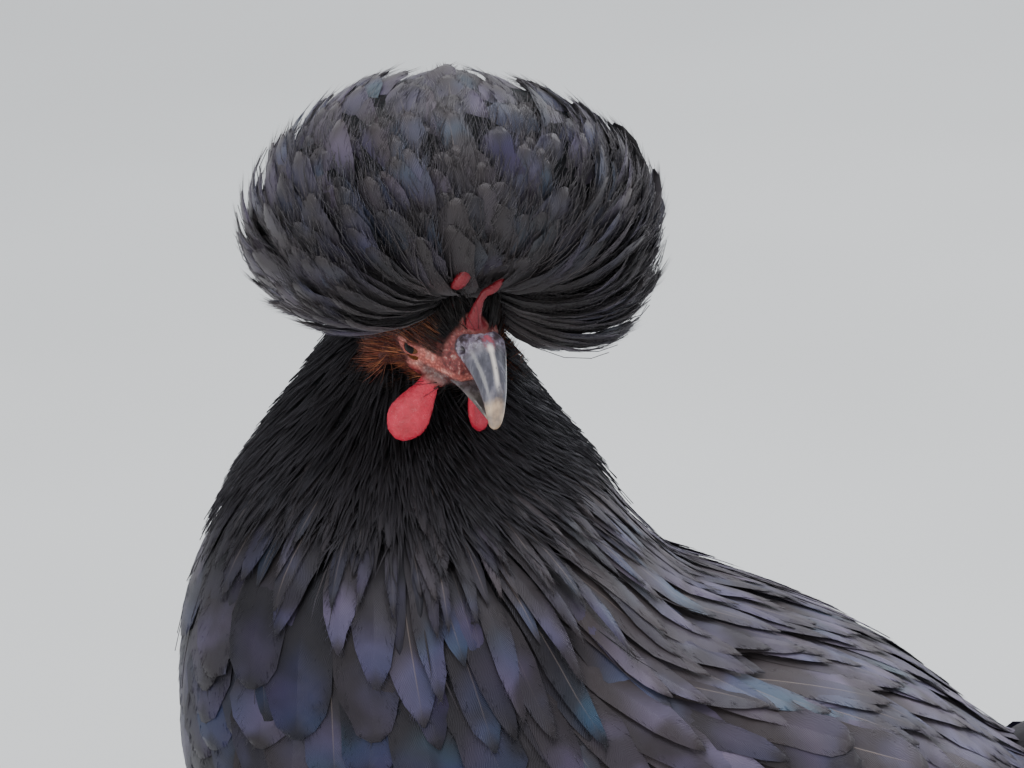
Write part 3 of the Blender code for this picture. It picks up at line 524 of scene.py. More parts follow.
def tail_point(along, fan, lift=0.0):
    """A point of the tented tail: fan is the angle from its ridge, along the distance from its base."""
    half = TAIL_HALF[0] + TAIL_HALF[1] * along
    rise = TAIL_RISE[0] + TAIL_RISE[1] * along
    level = TAIL_LEVEL[0] + TAIL_LEVEL[1] * along + TAIL_LEVEL[2] * along**2
    place = stacked(half * np.sin(fan), TAIL_BASE_Y + along, level + rise * np.cos(fan))
    way = unit(stacked(np.sin(fan) / half, 0, np.cos(fan) / rise))
    return place + way * np.asarray(lift)[..., None]


# helpers for meshes


def read_points(obj):
    """The object's own points, in metres."""
    points = np.empty(len(obj.data.vertices) * 3)
    obj.data.vertices.foreach_get("co", points)
    return points.reshape(-1, 3)


def to_metres(points):
    """Places in centimetres as points in metres."""
    return (points + STAND) * CM


def to_cm(points):
    """Points in metres as places in centimetres."""
    return points / CM - STAND


def write_points(obj, points):
    """Moves the object's own points, in metres."""
    obj.data.vertices.foreach_set("co", points.astype(np.float32).ravel())
    obj.data.update()


def choose(*objects):
    """Selects these objects alone, the first one active."""
    bpy.ops.object.select_all(action="DESELECT")
    for obj in objects:
        obj.select_set(True)
    bpy.context.view_layer.objects.active = objects[0]


def wrapped(name, surface, around, along):
    """A closed skin: a grid laid round the surface, seamed along its length and closed at its ends."""
    bpy.ops.object.select_all(action="DESELECT")
    bpy.ops.mesh.primitive_grid_add(x_subdivisions=around, y_subdivisions=along, size=1)
    obj = bpy.context.active_object
    obj.name = obj.data.name = name
    flat = read_points(obj)
    write_points(obj, to_metres(surface(flat[:, 0] + 0.5, flat[:, 1] + 0.5)))
    bpy.ops.object.mode_set(mode="EDIT")
    bpy.ops.mesh.select_all(action="SELECT")
    bpy.ops.mesh.remove_doubles(threshold=1e-6)
    bpy.ops.mesh.select_all(action="SELECT")
    bpy.ops.mesh.fill_holes(sides=0)
    bpy.ops.mesh.select_all(action="SELECT")
    bpy.ops.mesh.normals_make_consistent(inside=False)
    bpy.ops.object.mode_set(mode="OBJECT")
    return obj


def joined(name, *pieces):
    """The pieces as one object under this name."""
    choose(*pieces)
    bpy.ops.object.join()
    obj = bpy.context.active_object
    obj.name = obj.data.name = name
    return obj


def modified(obj, kind, **values):
    """Adds a modifier with these values and applies it."""
    choose(obj)
    modifier = obj.modifiers.new(kind.lower(), kind)
    for key, value in values.items():
        setattr(modifier, key, value)
    bpy.ops.object.modifier_apply(modifier=modifier.name)
    return obj


def finished(obj, look, slot, *nodes):
    """Gives a piece its material, hangs it under the root and hides the solids that it stands for. The slot
    is not used.
    """
    obj.data.shade_smooth()
    obj.data.materials.clear()
    obj.data.materials.append(look)
    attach(obj, "root")
    if nodes:
        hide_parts(*nodes)
    return obj


def put_attribute(obj, name, values):
    """Three values per point, for the materials."""
    layer = obj.data.attributes.new(name, "FLOAT_VECTOR", "POINT")
    layer.data.foreach_set("vector", np.asarray(values, np.float32).ravel())


# feathers as geometry


class Vane:
    """The make of a feather: places along it, its width there and the points of its cross-section."""

    def __init__(self, stations, widths, section):
        self.stations, self.widths, self.section = (np.array(a, float) for a in (stations, widths, section))
        self.top = (len(section) + 3) // 2


# the cross-section's places from margin to margin, first over the top and then back below
FULL = (-1.0, -0.5, 0.0, 0.5, 1.0, 0.5, -0.5)
SLIM = (-1.0, 0.0, 1.0, 0.0)
NINE = (0.0, 0.14, 0.3, 0.46, 0.62, 0.76, 0.87, 0.95, 1.0)
ROUND = Vane(NINE, (0.22, 0.5, 0.75, 0.92, 1.0, 0.98, 0.84, 0.56, 0.16), FULL)
POINTED = Vane(NINE, (0.22, 0.55, 0.82, 0.97, 1.0, 0.86, 0.62, 0.34, 0.06), FULL)
SLIVER = Vane((0.0, 0.34, 0.7, 1.0), (0.5, 1.0, 0.75, 0.05), SLIM)
STRAND = Vane((0.0, 0.2, 0.42, 0.64, 0.84, 1.0), (0.5, 0.9, 1.0, 0.85, 0.55, 0.05), SLIM)


class Coat:
    """Feathers and hairs of one piece, gathered as arrays and made into one mesh."""

    def __init__(self):
        self.points, self.faces, self.quill, self.plume, self.patch = [], [], [], [], []
        self.margins = []
        self.count = 0

    def gather(self, points, faces, quill, plume, patch):
        """Points (N, P, 3) of N like pieces, faces of the first one, and their attributes."""
        number, size = points.shape[:2]
        starts = self.count + size * np.arange(number)
        for sides in (3, 4):
            some = np.array([f for f in faces if len(f) == sides], int)
            if len(some):
                self.faces.append((starts[:, None, None] + some[None]).reshape(-1, sides))
        self.points.append(points.reshape(-1, 3))
        self.quill.append(quill.reshape(-1, 3))
        self.plume.append(np.repeat(plume, size, axis=0))
        self.patch.append(patch.reshape(-1, 2))
        self.count += number * size

    def feathers(self, vane, path, outward, half, roots, plume, rng, camber=0.07, thick=0.012,
                 roll=0.0, ragged=0.09, hairs=0, hair=0.5, lean=(10, 34)):
        """Vanes along paths (N, R, 3), with loose barbs along their margins."""
        number, rows = path.shape[:2]
        half = np.broadcast_to(np.asarray(half, float), (number,))
        along = unit(np.gradient(path, axis=1))
        across = unit(np.cross(along, outward))
        out = np.cross(across, along)
        roll = np.broadcast_to(np.asarray(roll, float), (number,))[:, None, None]
        across, out = across * np.cos(roll) + out * np.sin(roll), out * np.cos(roll) - across * np.sin(roll)
        width = half[:, None] * vane.widths[None, :]
        section, ring = vane.section, len(vane.section)
        outer = step(0.25, 0.7, vane.stations)[None, :, None]
        torn = 1 + ragged * rng.standard_normal((number, rows, 2)) * outer
        spread = np.repeat(section[None, None], number, 0).repeat(rows, 1)
        spread[:, :, 0] *= torn[:, :, 0]
        spread[:, :, vane.top - 1] *= torn[:, :, 1]
        height = np.where(np.arange(ring) < vane.top, 1, -1) * (1 - section**2) * thick
        droop = -camber * spread**2 * width[:, :, None]
        points = (
            path[:, :, None]
            + across[:, :, None] * (spread * width[:, :, None])[..., None]
            + out[:, :, None] * (height[None, None] + droop)[..., None]
        )
        faces = [
            (r * ring + i, r * ring + (i + 1) % ring, (r + 1) * ring + (i + 1) % ring, (r + 1) * ring + i)
            for r in range(rows - 1)
            for i in range(ring)
        ]
        for start, turn in ((0, -1), ((rows - 1) * ring, 1)):
            faces += [(start, start + i, start + i + 1)[::turn] for i in range(1, ring - 1)]
        lengths = np.linalg.norm(np.diff(path, axis=1), axis=2).sum(1)
        share = np.broadcast_to(vane.stations[None, :, None], spread.shape)
        quill = stacked(spread * width[:, :, None], share * lengths[:, None, None], share)
        patch = stacked(spread * 0.5, share - 0.5) * PATCH + roots[:, None, None]
        edges = np.arange(rows - 1)[:, None] * ring + (0, vane.top - 1)
        starts = self.count + rows * ring * np.arange(number)[:, None]
        margin = starts + edges.ravel()
        self.margins.append((margin, margin + ring))
        self.gather(points.reshape(number, -1, 3), faces, quill, plume, patch)
        if hairs:
            ways = (path, along, across, out)
            self.barbs(vane, ways, width, camber, lengths, plume, roots, hairs, hair, lean, rng)

    def barbs(self, vane, ways, width, camber, lengths, plume, roots, hairs, hair, lean, rng):
        """Loose barbs that stand off the margins of the outer part of each vane."""
        path, along, across, out = ways
        number, rows = path.shape[:2]
        stations = vane.stations
        at = 1 - 0.62 * rng.random((number, hairs)) ** 1.3
        side = rng.uniform(-1.0, 1.0, (number, hairs))
        side = np.sign(side) * np.abs(side) ** 0.2
        k = np.clip(np.searchsorted(stations, at, side="right") - 1, 0, rows - 2)
        t = ((at - stations[k]) / (stations[k + 1] - stations[k]))[..., None]
        pick = np.arange(number)[:, None]

        def read(values):
            return values[pick, k] * (1 - t) + values[pick, k + 1] * t

        wide = read(width[..., None])
        a, c, o = unit(read(along)), unit(read(across)), unit(read(out))
        s = side[..., None]
        base = read(path) + c * s * wide * 0.93 + o * (0.004 - camber * wide * s**2)
        angle = np.radians(rng.uniform(*lean, (number, hairs, 1)))
        way = a * np.cos(angle) + c * s * np.sin(angle)
        way = unit(way + o * rng.uniform(-0.05, 0.07, (number, hairs, 1)))
        reach = hair * rng.uniform(0.35, 1.0, (number, hairs, 1)) * (0.5 + 0.5 * at[..., None])
        foot = base - way * 0.1
        ring = (foot + c * BARB_RADIUS, foot - c * BARB_RADIUS, foot + o * BARB_RADIUS)
        points = np.stack((*ring, base + way * reach), 2)
        faces = [(0, 1, 2), (0, 3, 1), (1, 3, 2), (2, 3, 0)]
        size = hairs * 4
        all_faces = [tuple(4 * j + i for i in f) for j in range(hairs) for f in faces]
        run = at * lengths[:, None]
        quills = stacked((s * wide)[..., 0], run, at)[:, :, None].repeat(4, 2).reshape(number, size, 3)
        patch = (stacked(side * 0.5, at - 0.5) * PATCH + roots[:, None])[:, :, None].repeat(4, 2)
        self.gather(points.reshape(number, size, 3), all_faces, quills, plume, patch.reshape(number, size, 2))

    def strands(self, path, radius, roots, plume):
        """Fine tapering bristles along paths (N, R, 3)."""
        number, rows = path.shape[:2]
        along = unit(np.gradient(path, axis=1))
        side = unit(np.cross(along, UP + 0.01))
        other = np.cross(side, along)
        share = np.linspace(0, 1, rows)
        girth = radius[:, None] * (1 - 0.93 * share**1.6)
        ring = []
        for i in range(3):
            angle = 2 * np.pi * i / 3
            ring.append(path + (side * math.cos(angle) + other * math.sin(angle)) * girth[..., None])
        points = np.stack(ring, 2)
        faces = [
            (r * 3 + i, r * 3 + (i + 1) % 3, (r + 1) * 3 + (i + 1) % 3, (r + 1) * 3 + i)
            for r in range(rows - 1)
            for i in range(3)
        ] + [(2, 1, 0), (3 * rows - 3, 3 * rows - 2, 3 * rows - 1)]
        along_v = np.broadcast_to(share[None, :, None], (number, rows, 3))
        quill = stacked(0, along_v, along_v)
        patch = stacked(0, along_v - 0.5) * PATCH + roots[:, None, None]
        self.gather(points.reshape(number, -1, 3), faces, quill, plume, patch)

    def crease(self, mesh):
        """Keeps the margins of the vanes crisp under smooth shading."""
        if not self.margins:
            return
        ends = np.empty(len(mesh.edges) * 2, np.int64)
        mesh.edges.foreach_get("vertices", ends)
        ends = np.sort(ends.reshape(-1, 2), 1)
        near = np.concatenate([a.ravel() for a, _ in self.margins])
        far = np.concatenate([b.ravel() for _, b in self.margins])
        sharp = np.isin(ends[:, 0] * self.count + ends[:, 1], near * self.count + far)
        mesh.attributes.new("sharp_edge", "BOOLEAN", "EDGE").data.foreach_set("value", sharp)

    def made(self, name):
        """The coat's object, with its map and its quill and plume attributes."""
        mesh = bpy.data.meshes.new(name)
        points = to_metres(np.concatenate(self.points))
        mesh.vertices.add(len(points))
        mesh.vertices.foreach_set("co", points.astype(np.float32).ravel())
        corners = np.concatenate([f.ravel() for f in self.faces])
        sides = np.concatenate([np.full(len(f), f.shape[1]) for f in self.faces])
        mesh.loops.add(len(corners))
        mesh.loops.foreach_set("vertex_index", corners.astype(np.int32))
        mesh.polygons.add(len(sides))
        mesh.polygons.foreach_set("loop_start", (np.cumsum(sides) - sides).astype(np.int32))
        mesh.update(calc_edges=True)
        self.crease(mesh)
        patch = np.concatenate(self.patch)
        mesh.uv_layers.new(name="OFBake").data.foreach_set("uv", patch[corners].astype(np.float32).ravel())
        obj = bpy.data.objects.new(name, mesh)
        bpy.context.scene.collection.objects.link(obj)
        put_attribute(obj, "quill", np.concatenate(self.quill))
        put_attribute(obj, "plume", np.concatenate(self.plume))
        return obj


# helpers for materials


def new_material(name):
    """A fresh material, its node tree and its shader."""
    look = bpy.data.materials.new(name)
    look.use_nodes = True
    return look, look.node_tree, look.node_tree.nodes["Principled BSDF"]


def fill(made, values):
    """Feeds a node's inputs from sockets, plain numbers, ways or colours."""
    for name, value in values.items():
        target = made.inputs[name]
        if isinstance(value, bpy.types.NodeSocket):
            made.id_data.links.new(value, target)
        else:
            target.default_value = (*value, 1.0) if target.type == "RGBA" else value


def node(tree, kind, inputs=None, **values):
    """A new node with these inputs and these settings."""
    made = tree.nodes.new(kind)
    for key, value in values.items():
        setattr(made, key, value)
    fill(made, inputs or {})
    return made


def maths(tree, operation, *terms, clamp=False):
    """Arithmetic on sockets or plain numbers."""
    terms = dict(enumerate(terms))
    return node(tree, "ShaderNodeMath", terms, operation=operation, use_clamp=clamp).outputs[0]


def times(tree, first, second):
    """One value times another."""
    return maths(tree, "MULTIPLY", first, second)


def ranged(tree, value, low, high, to_low=0.0, to_high=1.0):
    """A soft step of a value from to_low at low to to_high at high."""
    inputs = {"Value": value, "From Min": low, "From Max": high, "To Min": to_low, "To Max": to_high}
    return node(tree, "ShaderNodeMapRange", inputs, interpolation_type="SMOOTHSTEP").outputs["Result"]


def mixed(tree, share, first, second):
    """A mix of two colours, each a socket or a plain colour."""
    inputs = {0: share, 6: first, 7: second}
    return node(tree, "ShaderNodeMix", inputs, data_type="RGBA").outputs[2]


def ramp(tree, value, *stops):
    """A colour from stops of (place, colour)."""
    made = node(tree, "ShaderNodeValToRGB", {0: value})
    elements = made.color_ramp.elements
    while len(elements) < len(stops):
        elements.new(0.5)
    for element, (place, colour) in zip(elements, stops):
        element.position = place
        element.color = (*colour, 1.0)
    return made.outputs[0]


def noise(tree, scale, detail=3.0, rough=0.5, where=None):
    """Cloudy noise at this scale."""
    inputs = {"Scale": scale, "Detail": detail, "Roughness": rough, "Vector": where or object_place(tree)}
    return node(tree, "ShaderNodeTexNoise", inputs).outputs["Fac"]


def cells(tree, scale, feature="F1"):
    """Distances in a pattern of cells at this scale."""
    inputs = {"Scale": scale, "Vector": object_place(tree)}
    return node(tree, "ShaderNodeTexVoronoi", inputs, feature=feature).outputs["Distance"]


def object_place(tree):
    """Places in the object's own directions, from one shared node."""
    for found in tree.nodes:
        if found.bl_idname == "ShaderNodeTexCoord":
            return found.outputs["Object"]
    return node(tree, "ShaderNodeTexCoord").outputs["Object"]


def attribute(tree, name):
    """The three values of a mesh attribute."""
    found = node(tree, "ShaderNodeAttribute", attribute_type="GEOMETRY", attribute_name=name)
    return node(tree, "ShaderNodeSeparateXYZ", {0: found.outputs["Vector"]}).outputs


def bumped(tree, height, strength, distance):
    """The ways that a surface faces once a height is laid over it."""
    inputs = {"Strength": strength, "Distance": distance, "Height": height}
    return node(tree, "ShaderNodeBump", inputs).outputs[0]


def feather_group():
    """Colour, roughness and height of a feather from its quill and plume attributes; the colour carries a
    painted sheen band.
    """
    tree = bpy.data.node_groups.new("feather vane", "ShaderNodeTree")
    for name in ("Barb spacing", "Barb slant", "Sheen amount"):
        tree.interface.new_socket(name, in_out="INPUT", socket_type="NodeSocketFloat")
    for name, kind in (("Colour", "Color"), ("Height", "Float"), ("Rough", "Float")):
        tree.interface.new_socket(name, in_out="OUTPUT", socket_type="NodeSocket" + kind)
    start, end = node(tree, "NodeGroupInput"), node(tree, "NodeGroupOutput")
    across, run, share = attribute(tree, "quill")
    warm, painted_sheen, draw = attribute(tree, "plume")
    side = maths(tree, "ABSOLUTE", across)
    wobble = noise(tree, 140, 2.0)
    barb = maths(tree, "SUBTRACT", run, times(tree, side, start.outputs["Barb slant"]))
    barb = maths(tree, "DIVIDE", barb, start.outputs["Barb spacing"])
    barb = maths(tree, "ADD", barb, times(tree, wobble, 5.0))
    lines = maths(tree, "MULTIPLY_ADD", maths(tree, "SINE", times(tree, barb, 6.283)), 0.5, 0.5)
    clump = noise(tree, 95, 3.0)
    fine = times(tree, lines, ranged(tree, clump, 0.35, 0.65))

    ground = mixed(tree, warm, DARK_GROUND, BROWN_GROUND)
    # painted sheen: the blue, teal, violet and lavender that black feathers show in reflected light, painted
    # into their colour; warm makes it lighter
    hue = maths(tree, "ADD", times(tree, draw, 0.45), times(tree, share, 0.3))
    hue = maths(tree, "FRACT", maths(tree, "ADD", hue, times(tree, noise(tree, 30, 1.0), 0.8)))
    deep = ramp(
        tree, hue,
        (0.0, (0.014, 0.019, 0.054)), (0.25, (0.008, 0.032, 0.06)), (0.45, (0.007, 0.037, 0.045)),
        (0.62, (0.014, 0.022, 0.06)), (0.8, (0.032, 0.022, 0.06)), (1.0, (0.014, 0.019, 0.054)),
    )
    light = ramp(
        tree, hue,
        (0.0, (0.1, 0.098, 0.165)), (0.3, (0.08, 0.13, 0.165)), (0.45, (0.09, 0.135, 0.15)),
        (0.65, (0.12, 0.105, 0.16)), (0.85, (0.15, 0.12, 0.17)), (1.0, (0.1, 0.098, 0.165)),
    )
    sheen = mixed(tree, times(tree, warm, 0.9), deep, light)
    # the painted sheen lies in a band towards each feather's tip, scaled by the plume's painted sheen share
    arc = maths(tree, "SUBTRACT", share, times(tree, side, 0.14))
    band = times(tree, ranged(tree, arc, 0.45, 0.76), ranged(tree, arc, 0.97, 0.84, 0.15, 1.0))
    band = times(tree, band, ranged(tree, noise(tree, 48, 2.0), 0.36, 0.6, 0.15, 1.25))
    band = times(tree, band, painted_sheen)
    band = maths(tree, "MULTIPLY", band, start.outputs["Sheen amount"], clamp=True)
    colour = mixed(tree, band, ground, sheen)
    shine = mixed(tree, 0.5, colour, BARB_SHINE)
    colour = mixed(tree, times(tree, fine, 0.5), colour, shine)
    shaft = times(tree, ranged(tree, side, 0.03, 0.008), ranged(tree, share, 0.97, 0.7))
    shaft = times(tree, shaft, ranged(tree, draw, 0.5, 1.0, 0.0, 0.75))
    shaft = times(tree, shaft, ranged(tree, share, 0.0, 0.35))
    pale = times(tree, shaft, ranged(tree, warm, 0.1, 0.8, 0.35, 0.9))
    colour = mixed(tree, pale, colour, SHAFT)
    # painted shade at each feather's root, where it lies under the feathers above, together with its dark
    # down
    colour = mixed(tree, ranged(tree, share, 0.0, 0.4, 0.6, 0.0), colour, DOWN_AND_ROOT_SHADE)
    height = maths(tree, "MULTIPLY_ADD", lines, 0.5, shaft)
    dull = maths(tree, "MULTIPLY_ADD", clump, 0.25, maths(tree, "MULTIPLY_ADD", band, -0.08, 0.36))
    fill(end, {"Colour": colour, "Height": height, "Rough": dull})
    return tree


def feather_look(name, group, spacing, slant, amount, specular, sheen, tint):
    """Feathers with barbs at this spacing and slant, an iridescent band of painted sheen, and a soft tinted
    specular shine from the shader.
    """
    look, tree, shader = new_material(name)
    vane = node(tree, "ShaderNodeGroup", node_tree=group)
    fill(vane, {"Barb spacing": spacing, "Barb slant": slant, "Sheen amount": amount})
    fill(shader, {
        "Base Color": vane.outputs["Colour"],
        "Roughness": vane.outputs["Rough"],
        "Normal": bumped(tree, vane.outputs["Height"], 0.3, 0.0005),
        "Specular IOR Level": specular,
        "Specular Tint": tint,
        "Sheen Weight": sheen,
        "Sheen Roughness": 0.4,
        "Sheen Tint": tint,
    })
    return look


def bristle_look():
    """Thin face feathers: rusty near the eye, black-brown elsewhere."""
    look, tree, shader = new_material("face_bristles")
    warm, _, draw = attribute(tree, "plume")
    share = attribute(tree, "quill")[2]
    rust = ramp(tree, draw, (0.0, (0.1, 0.02, 0.013)), (0.55, (0.26, 0.06, 0.03)), (1.0, (0.55, 0.21, 0.09)))
    colour = mixed(tree, warm, (0.008, 0.006, 0.006), rust)
    colour = mixed(tree, ranged(tree, share, 0.2, 1.0, 0.0, 0.35), colour, (0.02, 0.012, 0.01))
    fill(shader, {"Base Color": colour, "Roughness": 0.5, "Specular IOR Level": 0.4})
    return look


def skin_look():
    """Red bare skin with fine grain, black under the feathers. Region: red, pale grain, plumage."""
    look, tree, shader = new_material("skin")
    red, pale, covered = attribute(tree, "region")
    patches = noise(tree, 260, 4.0, 0.6)
    grain = cells(tree, 2600)
    coarse = cells(tree, 1100)
    bare = ramp(
        tree, patches,
        (0.25, (0.27, 0.042, 0.036)), (0.5, (0.62, 0.18, 0.14)), (0.75, (0.8, 0.44, 0.37)),
    )
    flesh = ramp(
        tree, patches,
        (0.25, (0.38, 0.01, 0.026)), (0.55, (0.56, 0.02, 0.05)), (0.8, (0.68, 0.06, 0.1)),
    )
    # the comb, which lies under the crest, takes a darker red than the wattles: painted shade
    flesh = mixed(tree, pale, (0.17, 0.006, 0.013), flesh)
    colour = mixed(tree, red, bare, flesh)
    mouth, rim, _ = attribute(tree, "rim")
    scab = ramp(
        tree, noise(tree, 700, 3.0),
        (0.35, (0.07, 0.012, 0.014)), (0.55, (0.26, 0.05, 0.045)), (0.7, (0.5, 0.3, 0.26)),
    )
    colour = mixed(tree, rim, colour, scab)
    horny = ramp(tree, noise(tree, 500, 3.0), (0.35, (0.04, 0.032, 0.034)), (0.65, (0.17, 0.13, 0.125)))
    colour = mixed(tree, times(tree, mouth, 0.9), colour, horny)
    speck = times(tree, ranged(tree, grain, 0.35, 0.12), ranged(tree, noise(tree, 420, 2.0), 0.42, 0.68))
    speck = times(tree, speck, times(tree, pale, 0.6))
    colour = mixed(tree, speck, colour, (0.78, 0.3, 0.32))
    crack = times(tree, ranged(tree, coarse, 0.3, 0.6), maths(tree, "SUBTRACT", 1.0, red))
    colour = mixed(tree, times(tree, crack, 0.5), colour, (0.12, 0.016, 0.014))
    colour = mixed(tree, covered, colour, (0.006, 0.006, 0.007))
    height = maths(tree, "MULTIPLY_ADD", grain, -0.4, times(tree, coarse, -0.5))
    fill(shader, {
        "Base Color": colour,
        "Normal": bumped(tree, height, 0.5, 0.0005),
        "Roughness": ranged(tree, patches, 0.3, 0.7, 0.38, 0.55),
        "Specular IOR Level": ranged(tree, covered, 0.0, 1.0, 0.5, 0.08),
        "Subsurface Weight": 0.1,
        "Subsurface Radius": (1.0, 0.2, 0.12),
        "Subsurface Scale": 0.003,
    })
    return look


def horn_look():
    """Bill horn: slate sides, brown scabby base, pale worn tip. Region: along, height, base growth."""
    look, tree, shader = new_material("bill_horn")
    along, upper, growth = attribute(tree, "region")
    streak = node(tree, "ShaderNodeMapping", {"Scale": (300, 300, 60), "Vector": object_place(tree)})
    lines = noise(tree, 1.0, 3.0, 0.6, streak.outputs[0])
    slate = ramp(
        tree, lines,
        (0.3, (0.024, 0.023, 0.032)), (0.55, (0.08, 0.078, 0.1)), (0.75, (0.2, 0.19, 0.225)),
    )
    below = ramp(tree, lines, (0.3, (0.06, 0.05, 0.045)), (0.7, (0.15, 0.125, 0.105)))
    lit = mixed(tree, upper, below, slate)
    tip = ramp(tree, lines, (0.3, (0.4, 0.27, 0.175)), (0.7, (0.64, 0.48, 0.34)))
    worn = maths(tree, "ADD", along, maths(tree, "MULTIPLY_ADD", noise(tree, 320, 2.0), 0.3, -0.15))
    colour = mixed(tree, ranged(tree, worn, 0.84, 1.08), lit, tip)
    spots = noise(tree, 520, 4.0, 0.65)
    scab = ramp(
        tree, spots,
        (0.34, (0.035, 0.022, 0.024)), (0.46, (0.1, 0.075, 0.095)),
        (0.56, (0.2, 0.17, 0.23)), (0.68, (0.42, 0.38, 0.42)),
    )
    colour = mixed(tree, times(tree, growth, ranged(tree, spots, 0.2, 0.4)), colour, scab)
    hole, fleshy, pale = attribute(tree, "marks")
    colour = mixed(tree, times(tree, fleshy, ranged(tree, spots, 0.6, 0.4)), colour, (0.5, 0.1, 0.14))
    # the pale spot and the painted highlight along the bill's ridge
    colour = mixed(tree, times(tree, pale, ranged(tree, spots, 0.3, 0.44)), colour, (0.86, 0.78, 0.72))
    # the nostril opening is painted near-black: painted shade inside the hole
    colour = mixed(tree, hole, colour, (0.012, 0.008, 0.008))
    height = maths(tree, "ADD", times(tree, lines, 0.3), times(tree, spots, growth))
    fill(shader, {
        "Base Color": colour,
        "Roughness": maths(tree, "MULTIPLY_ADD", growth, 0.2, ranged(tree, lines, 0.3, 0.7, 0.18, 0.3)),
        "Normal": bumped(tree, height, 0.45, 0.0005),
        "Coat Weight": 0.2,
        "Coat Roughness": 0.15,
    })
    return look


def eye_look():
    """A chestnut iris with fine spokes round a black pupil. Ring: distance from the axis, spoke angle."""
    look, tree, shader = new_material("eye")
    out, spoke, _ = attribute(tree, "ring")
    spokes = maths(tree, "SINE", times(tree, spoke, 46.0))
    fleck = maths(tree, "MULTIPLY_ADD", spokes, 0.5, noise(tree, 900, 2.0))
    iris = ramp(
        tree, fleck,
        (0.2, (0.03, 0.009, 0.004)), (0.55, (0.1, 0.03, 0.01)), (0.9, (0.2, 0.075, 0.025)),
    )
    colour = mixed(tree, ranged(tree, out, 0.46, 0.42), (0.03, 0.014, 0.01), iris)
    colour = mixed(tree, ranged(tree, out, 0.235, 0.215), colour, (0.002, 0.002, 0.002))
    fill(shader, {"Base Color": colour, "Roughness": 0.12, "Specular IOR Level": 0.12})
    fill(shader, {"Coat Weight": 0.04, "Coat Roughness": 0.05})
    return look


def scale_look():
    """Slate leg scales with dusty edges. Region: edge of a plate, sole."""
    look, tree, shader = new_material("leg_scale")
    edge, sole, _ = attribute(tree, "region")
    blotch = noise(tree, 160, 4.0, 0.6)
    base = ramp(tree, blotch, (0.3, (0.016, 0.018, 0.022)), (0.7, (0.045, 0.048, 0.054)))
    net = cells(tree, 520, "DISTANCE_TO_EDGE")
    seams = times(tree, ranged(tree, net, 0.12, 0.03), 0.6)
    colour = mixed(tree, seams, base, (0.085, 0.08, 0.075))
    colour = mixed(tree, times(tree, edge, 0.75), colour, (0.17, 0.155, 0.135))
    colour = mixed(tree, sole, colour, (0.2, 0.16, 0.12))
    rough = ranged(tree, blotch, 0.3, 0.7, 0.42, 0.6)
    height = bumped(tree, ranged(tree, net, 0.0, 0.12), 0.5, 0.0004)
    fill(shader, {"Base Color": colour, "Roughness": rough, "Normal": height})
    return look


def claw_look():
    """Dark horn that pales towards the tip. Region: the share of the claw's length."""
    look, tree, shader = new_material("claw")
    along = attribute(tree, "region")[0]
    lines = noise(tree, 700, 3.0)
    horn = ramp(tree, lines, (0.3, (0.05, 0.042, 0.038)), (0.7, (0.14, 0.12, 0.1)))
    colour = mixed(tree, ranged(tree, along, 0.5, 1.0), horn, (0.28, 0.24, 0.19))
    fill(shader, {"Base Color": colour, "Roughness": 0.35, "Normal": bumped(tree, lines, 0.3, 0.0003)})
    return look


# body form, skin and its regions


def wing_pad(side, inset):
    """The folded wing as a flat pad on the flank."""

    def place(u, v):
        y = WING_FIRST + (WING_LAST - WING_FIRST) * (1 - np.cos(np.pi * v)) / 2
        over = u < 0.5
        share = np.where(over, u * 2, 2 - u * 2)
        lift = np.where(over, wing_bulge(y, share) * WING_SHOWN - 0.15 - inset, -1.2 - inset)
        return wing_point(side, y, share, lift)

    return place


def crest_core(u, v):
    """The dense down under the crest's long feathers, small where the crest opens over the face."""
    polar = np.radians(14 + 150 * v)
    reach = CREST_CORE[0] + (CREST_CORE[1] - CREST_CORE[0]) * step(0.9, 1.6, polar)
    return on_head(hollowed(from_head(crest_point(polar, 2 * np.pi * u, reach))))


def bareness(local):
    """How bare the head's skin is at local places: comb, wattles, lores and the rim of the bill."""
    forward, left, up = local[:, 0], np.abs(local[:, 1]), local[:, 2]
    lore = step(-0.2, -0.38, up) * step(-1.3, -1.1, up) * step(0.1, 0.5, forward)
    lids = step(0.46, 0.36, np.hypot((forward - EYE[0]) * 0.9, (up - EYE[2]) * 2.2)) * step(0.5, 0.8, left)
    beak_base = step(1.62, 1.82, forward + 0.3 * left) * step(1.0, 0.75, up) * step(-2.2, -1.8, up)
    throat = step(0.7, 0.4, left) * step(-0.9, -1.2, up)
    bare = np.maximum(np.maximum(lore, beak_base), lids) * (1 - throat)
    return np.maximum(np.maximum(bare, on_comb(local)), on_wattle(on_head(local)))


def thigh_surface(side, inset):
    """The feathered thigh, fullest below the body and narrow at the hock."""
    hock = HOCK * (side, 1, 1)
    top = THIGH_TOP * (side, 1, 1)
    points = (top, top * 0.5 + hock * 0.5 + (0, -0.2, -0.3), hock)
    rows = [(i, *p) for i, p in enumerate(points)]
    path = curve(rows, np.linspace(0, 2, len(THIGH_RADII)))
    return rod_surface(path, np.array(THIGH_RADII) - inset, 0.8, ACROSS)


def body_form(name, inset, grain, rounds):
    """Torso, neck, thighs and tail root as one smooth closed form."""
    pieces = [
        wrapped("torso_form", torso_surface(inset), 64, 60),
        wrapped("neck_form", neck_surface(inset), 56, 40),
        wrapped("rump_form", ball_surface(RUMP_MIDDLE, RUMP_HALF - inset, END_ON), 28, 20),
    ]
    for side in (1, -1):
        pieces.append(wrapped("thigh_form", thigh_surface(side, inset * 0.7), 28, 24))
        pieces.append(wrapped("wing_form", wing_pad(side, inset), 36, 24))
    form = joined(name, *pieces)
    modified(form, "REMESH", mode="VOXEL", voxel_size=grain * CM)
    modified(form, "SMOOTH", factor=0.5, iterations=rounds)
    return form


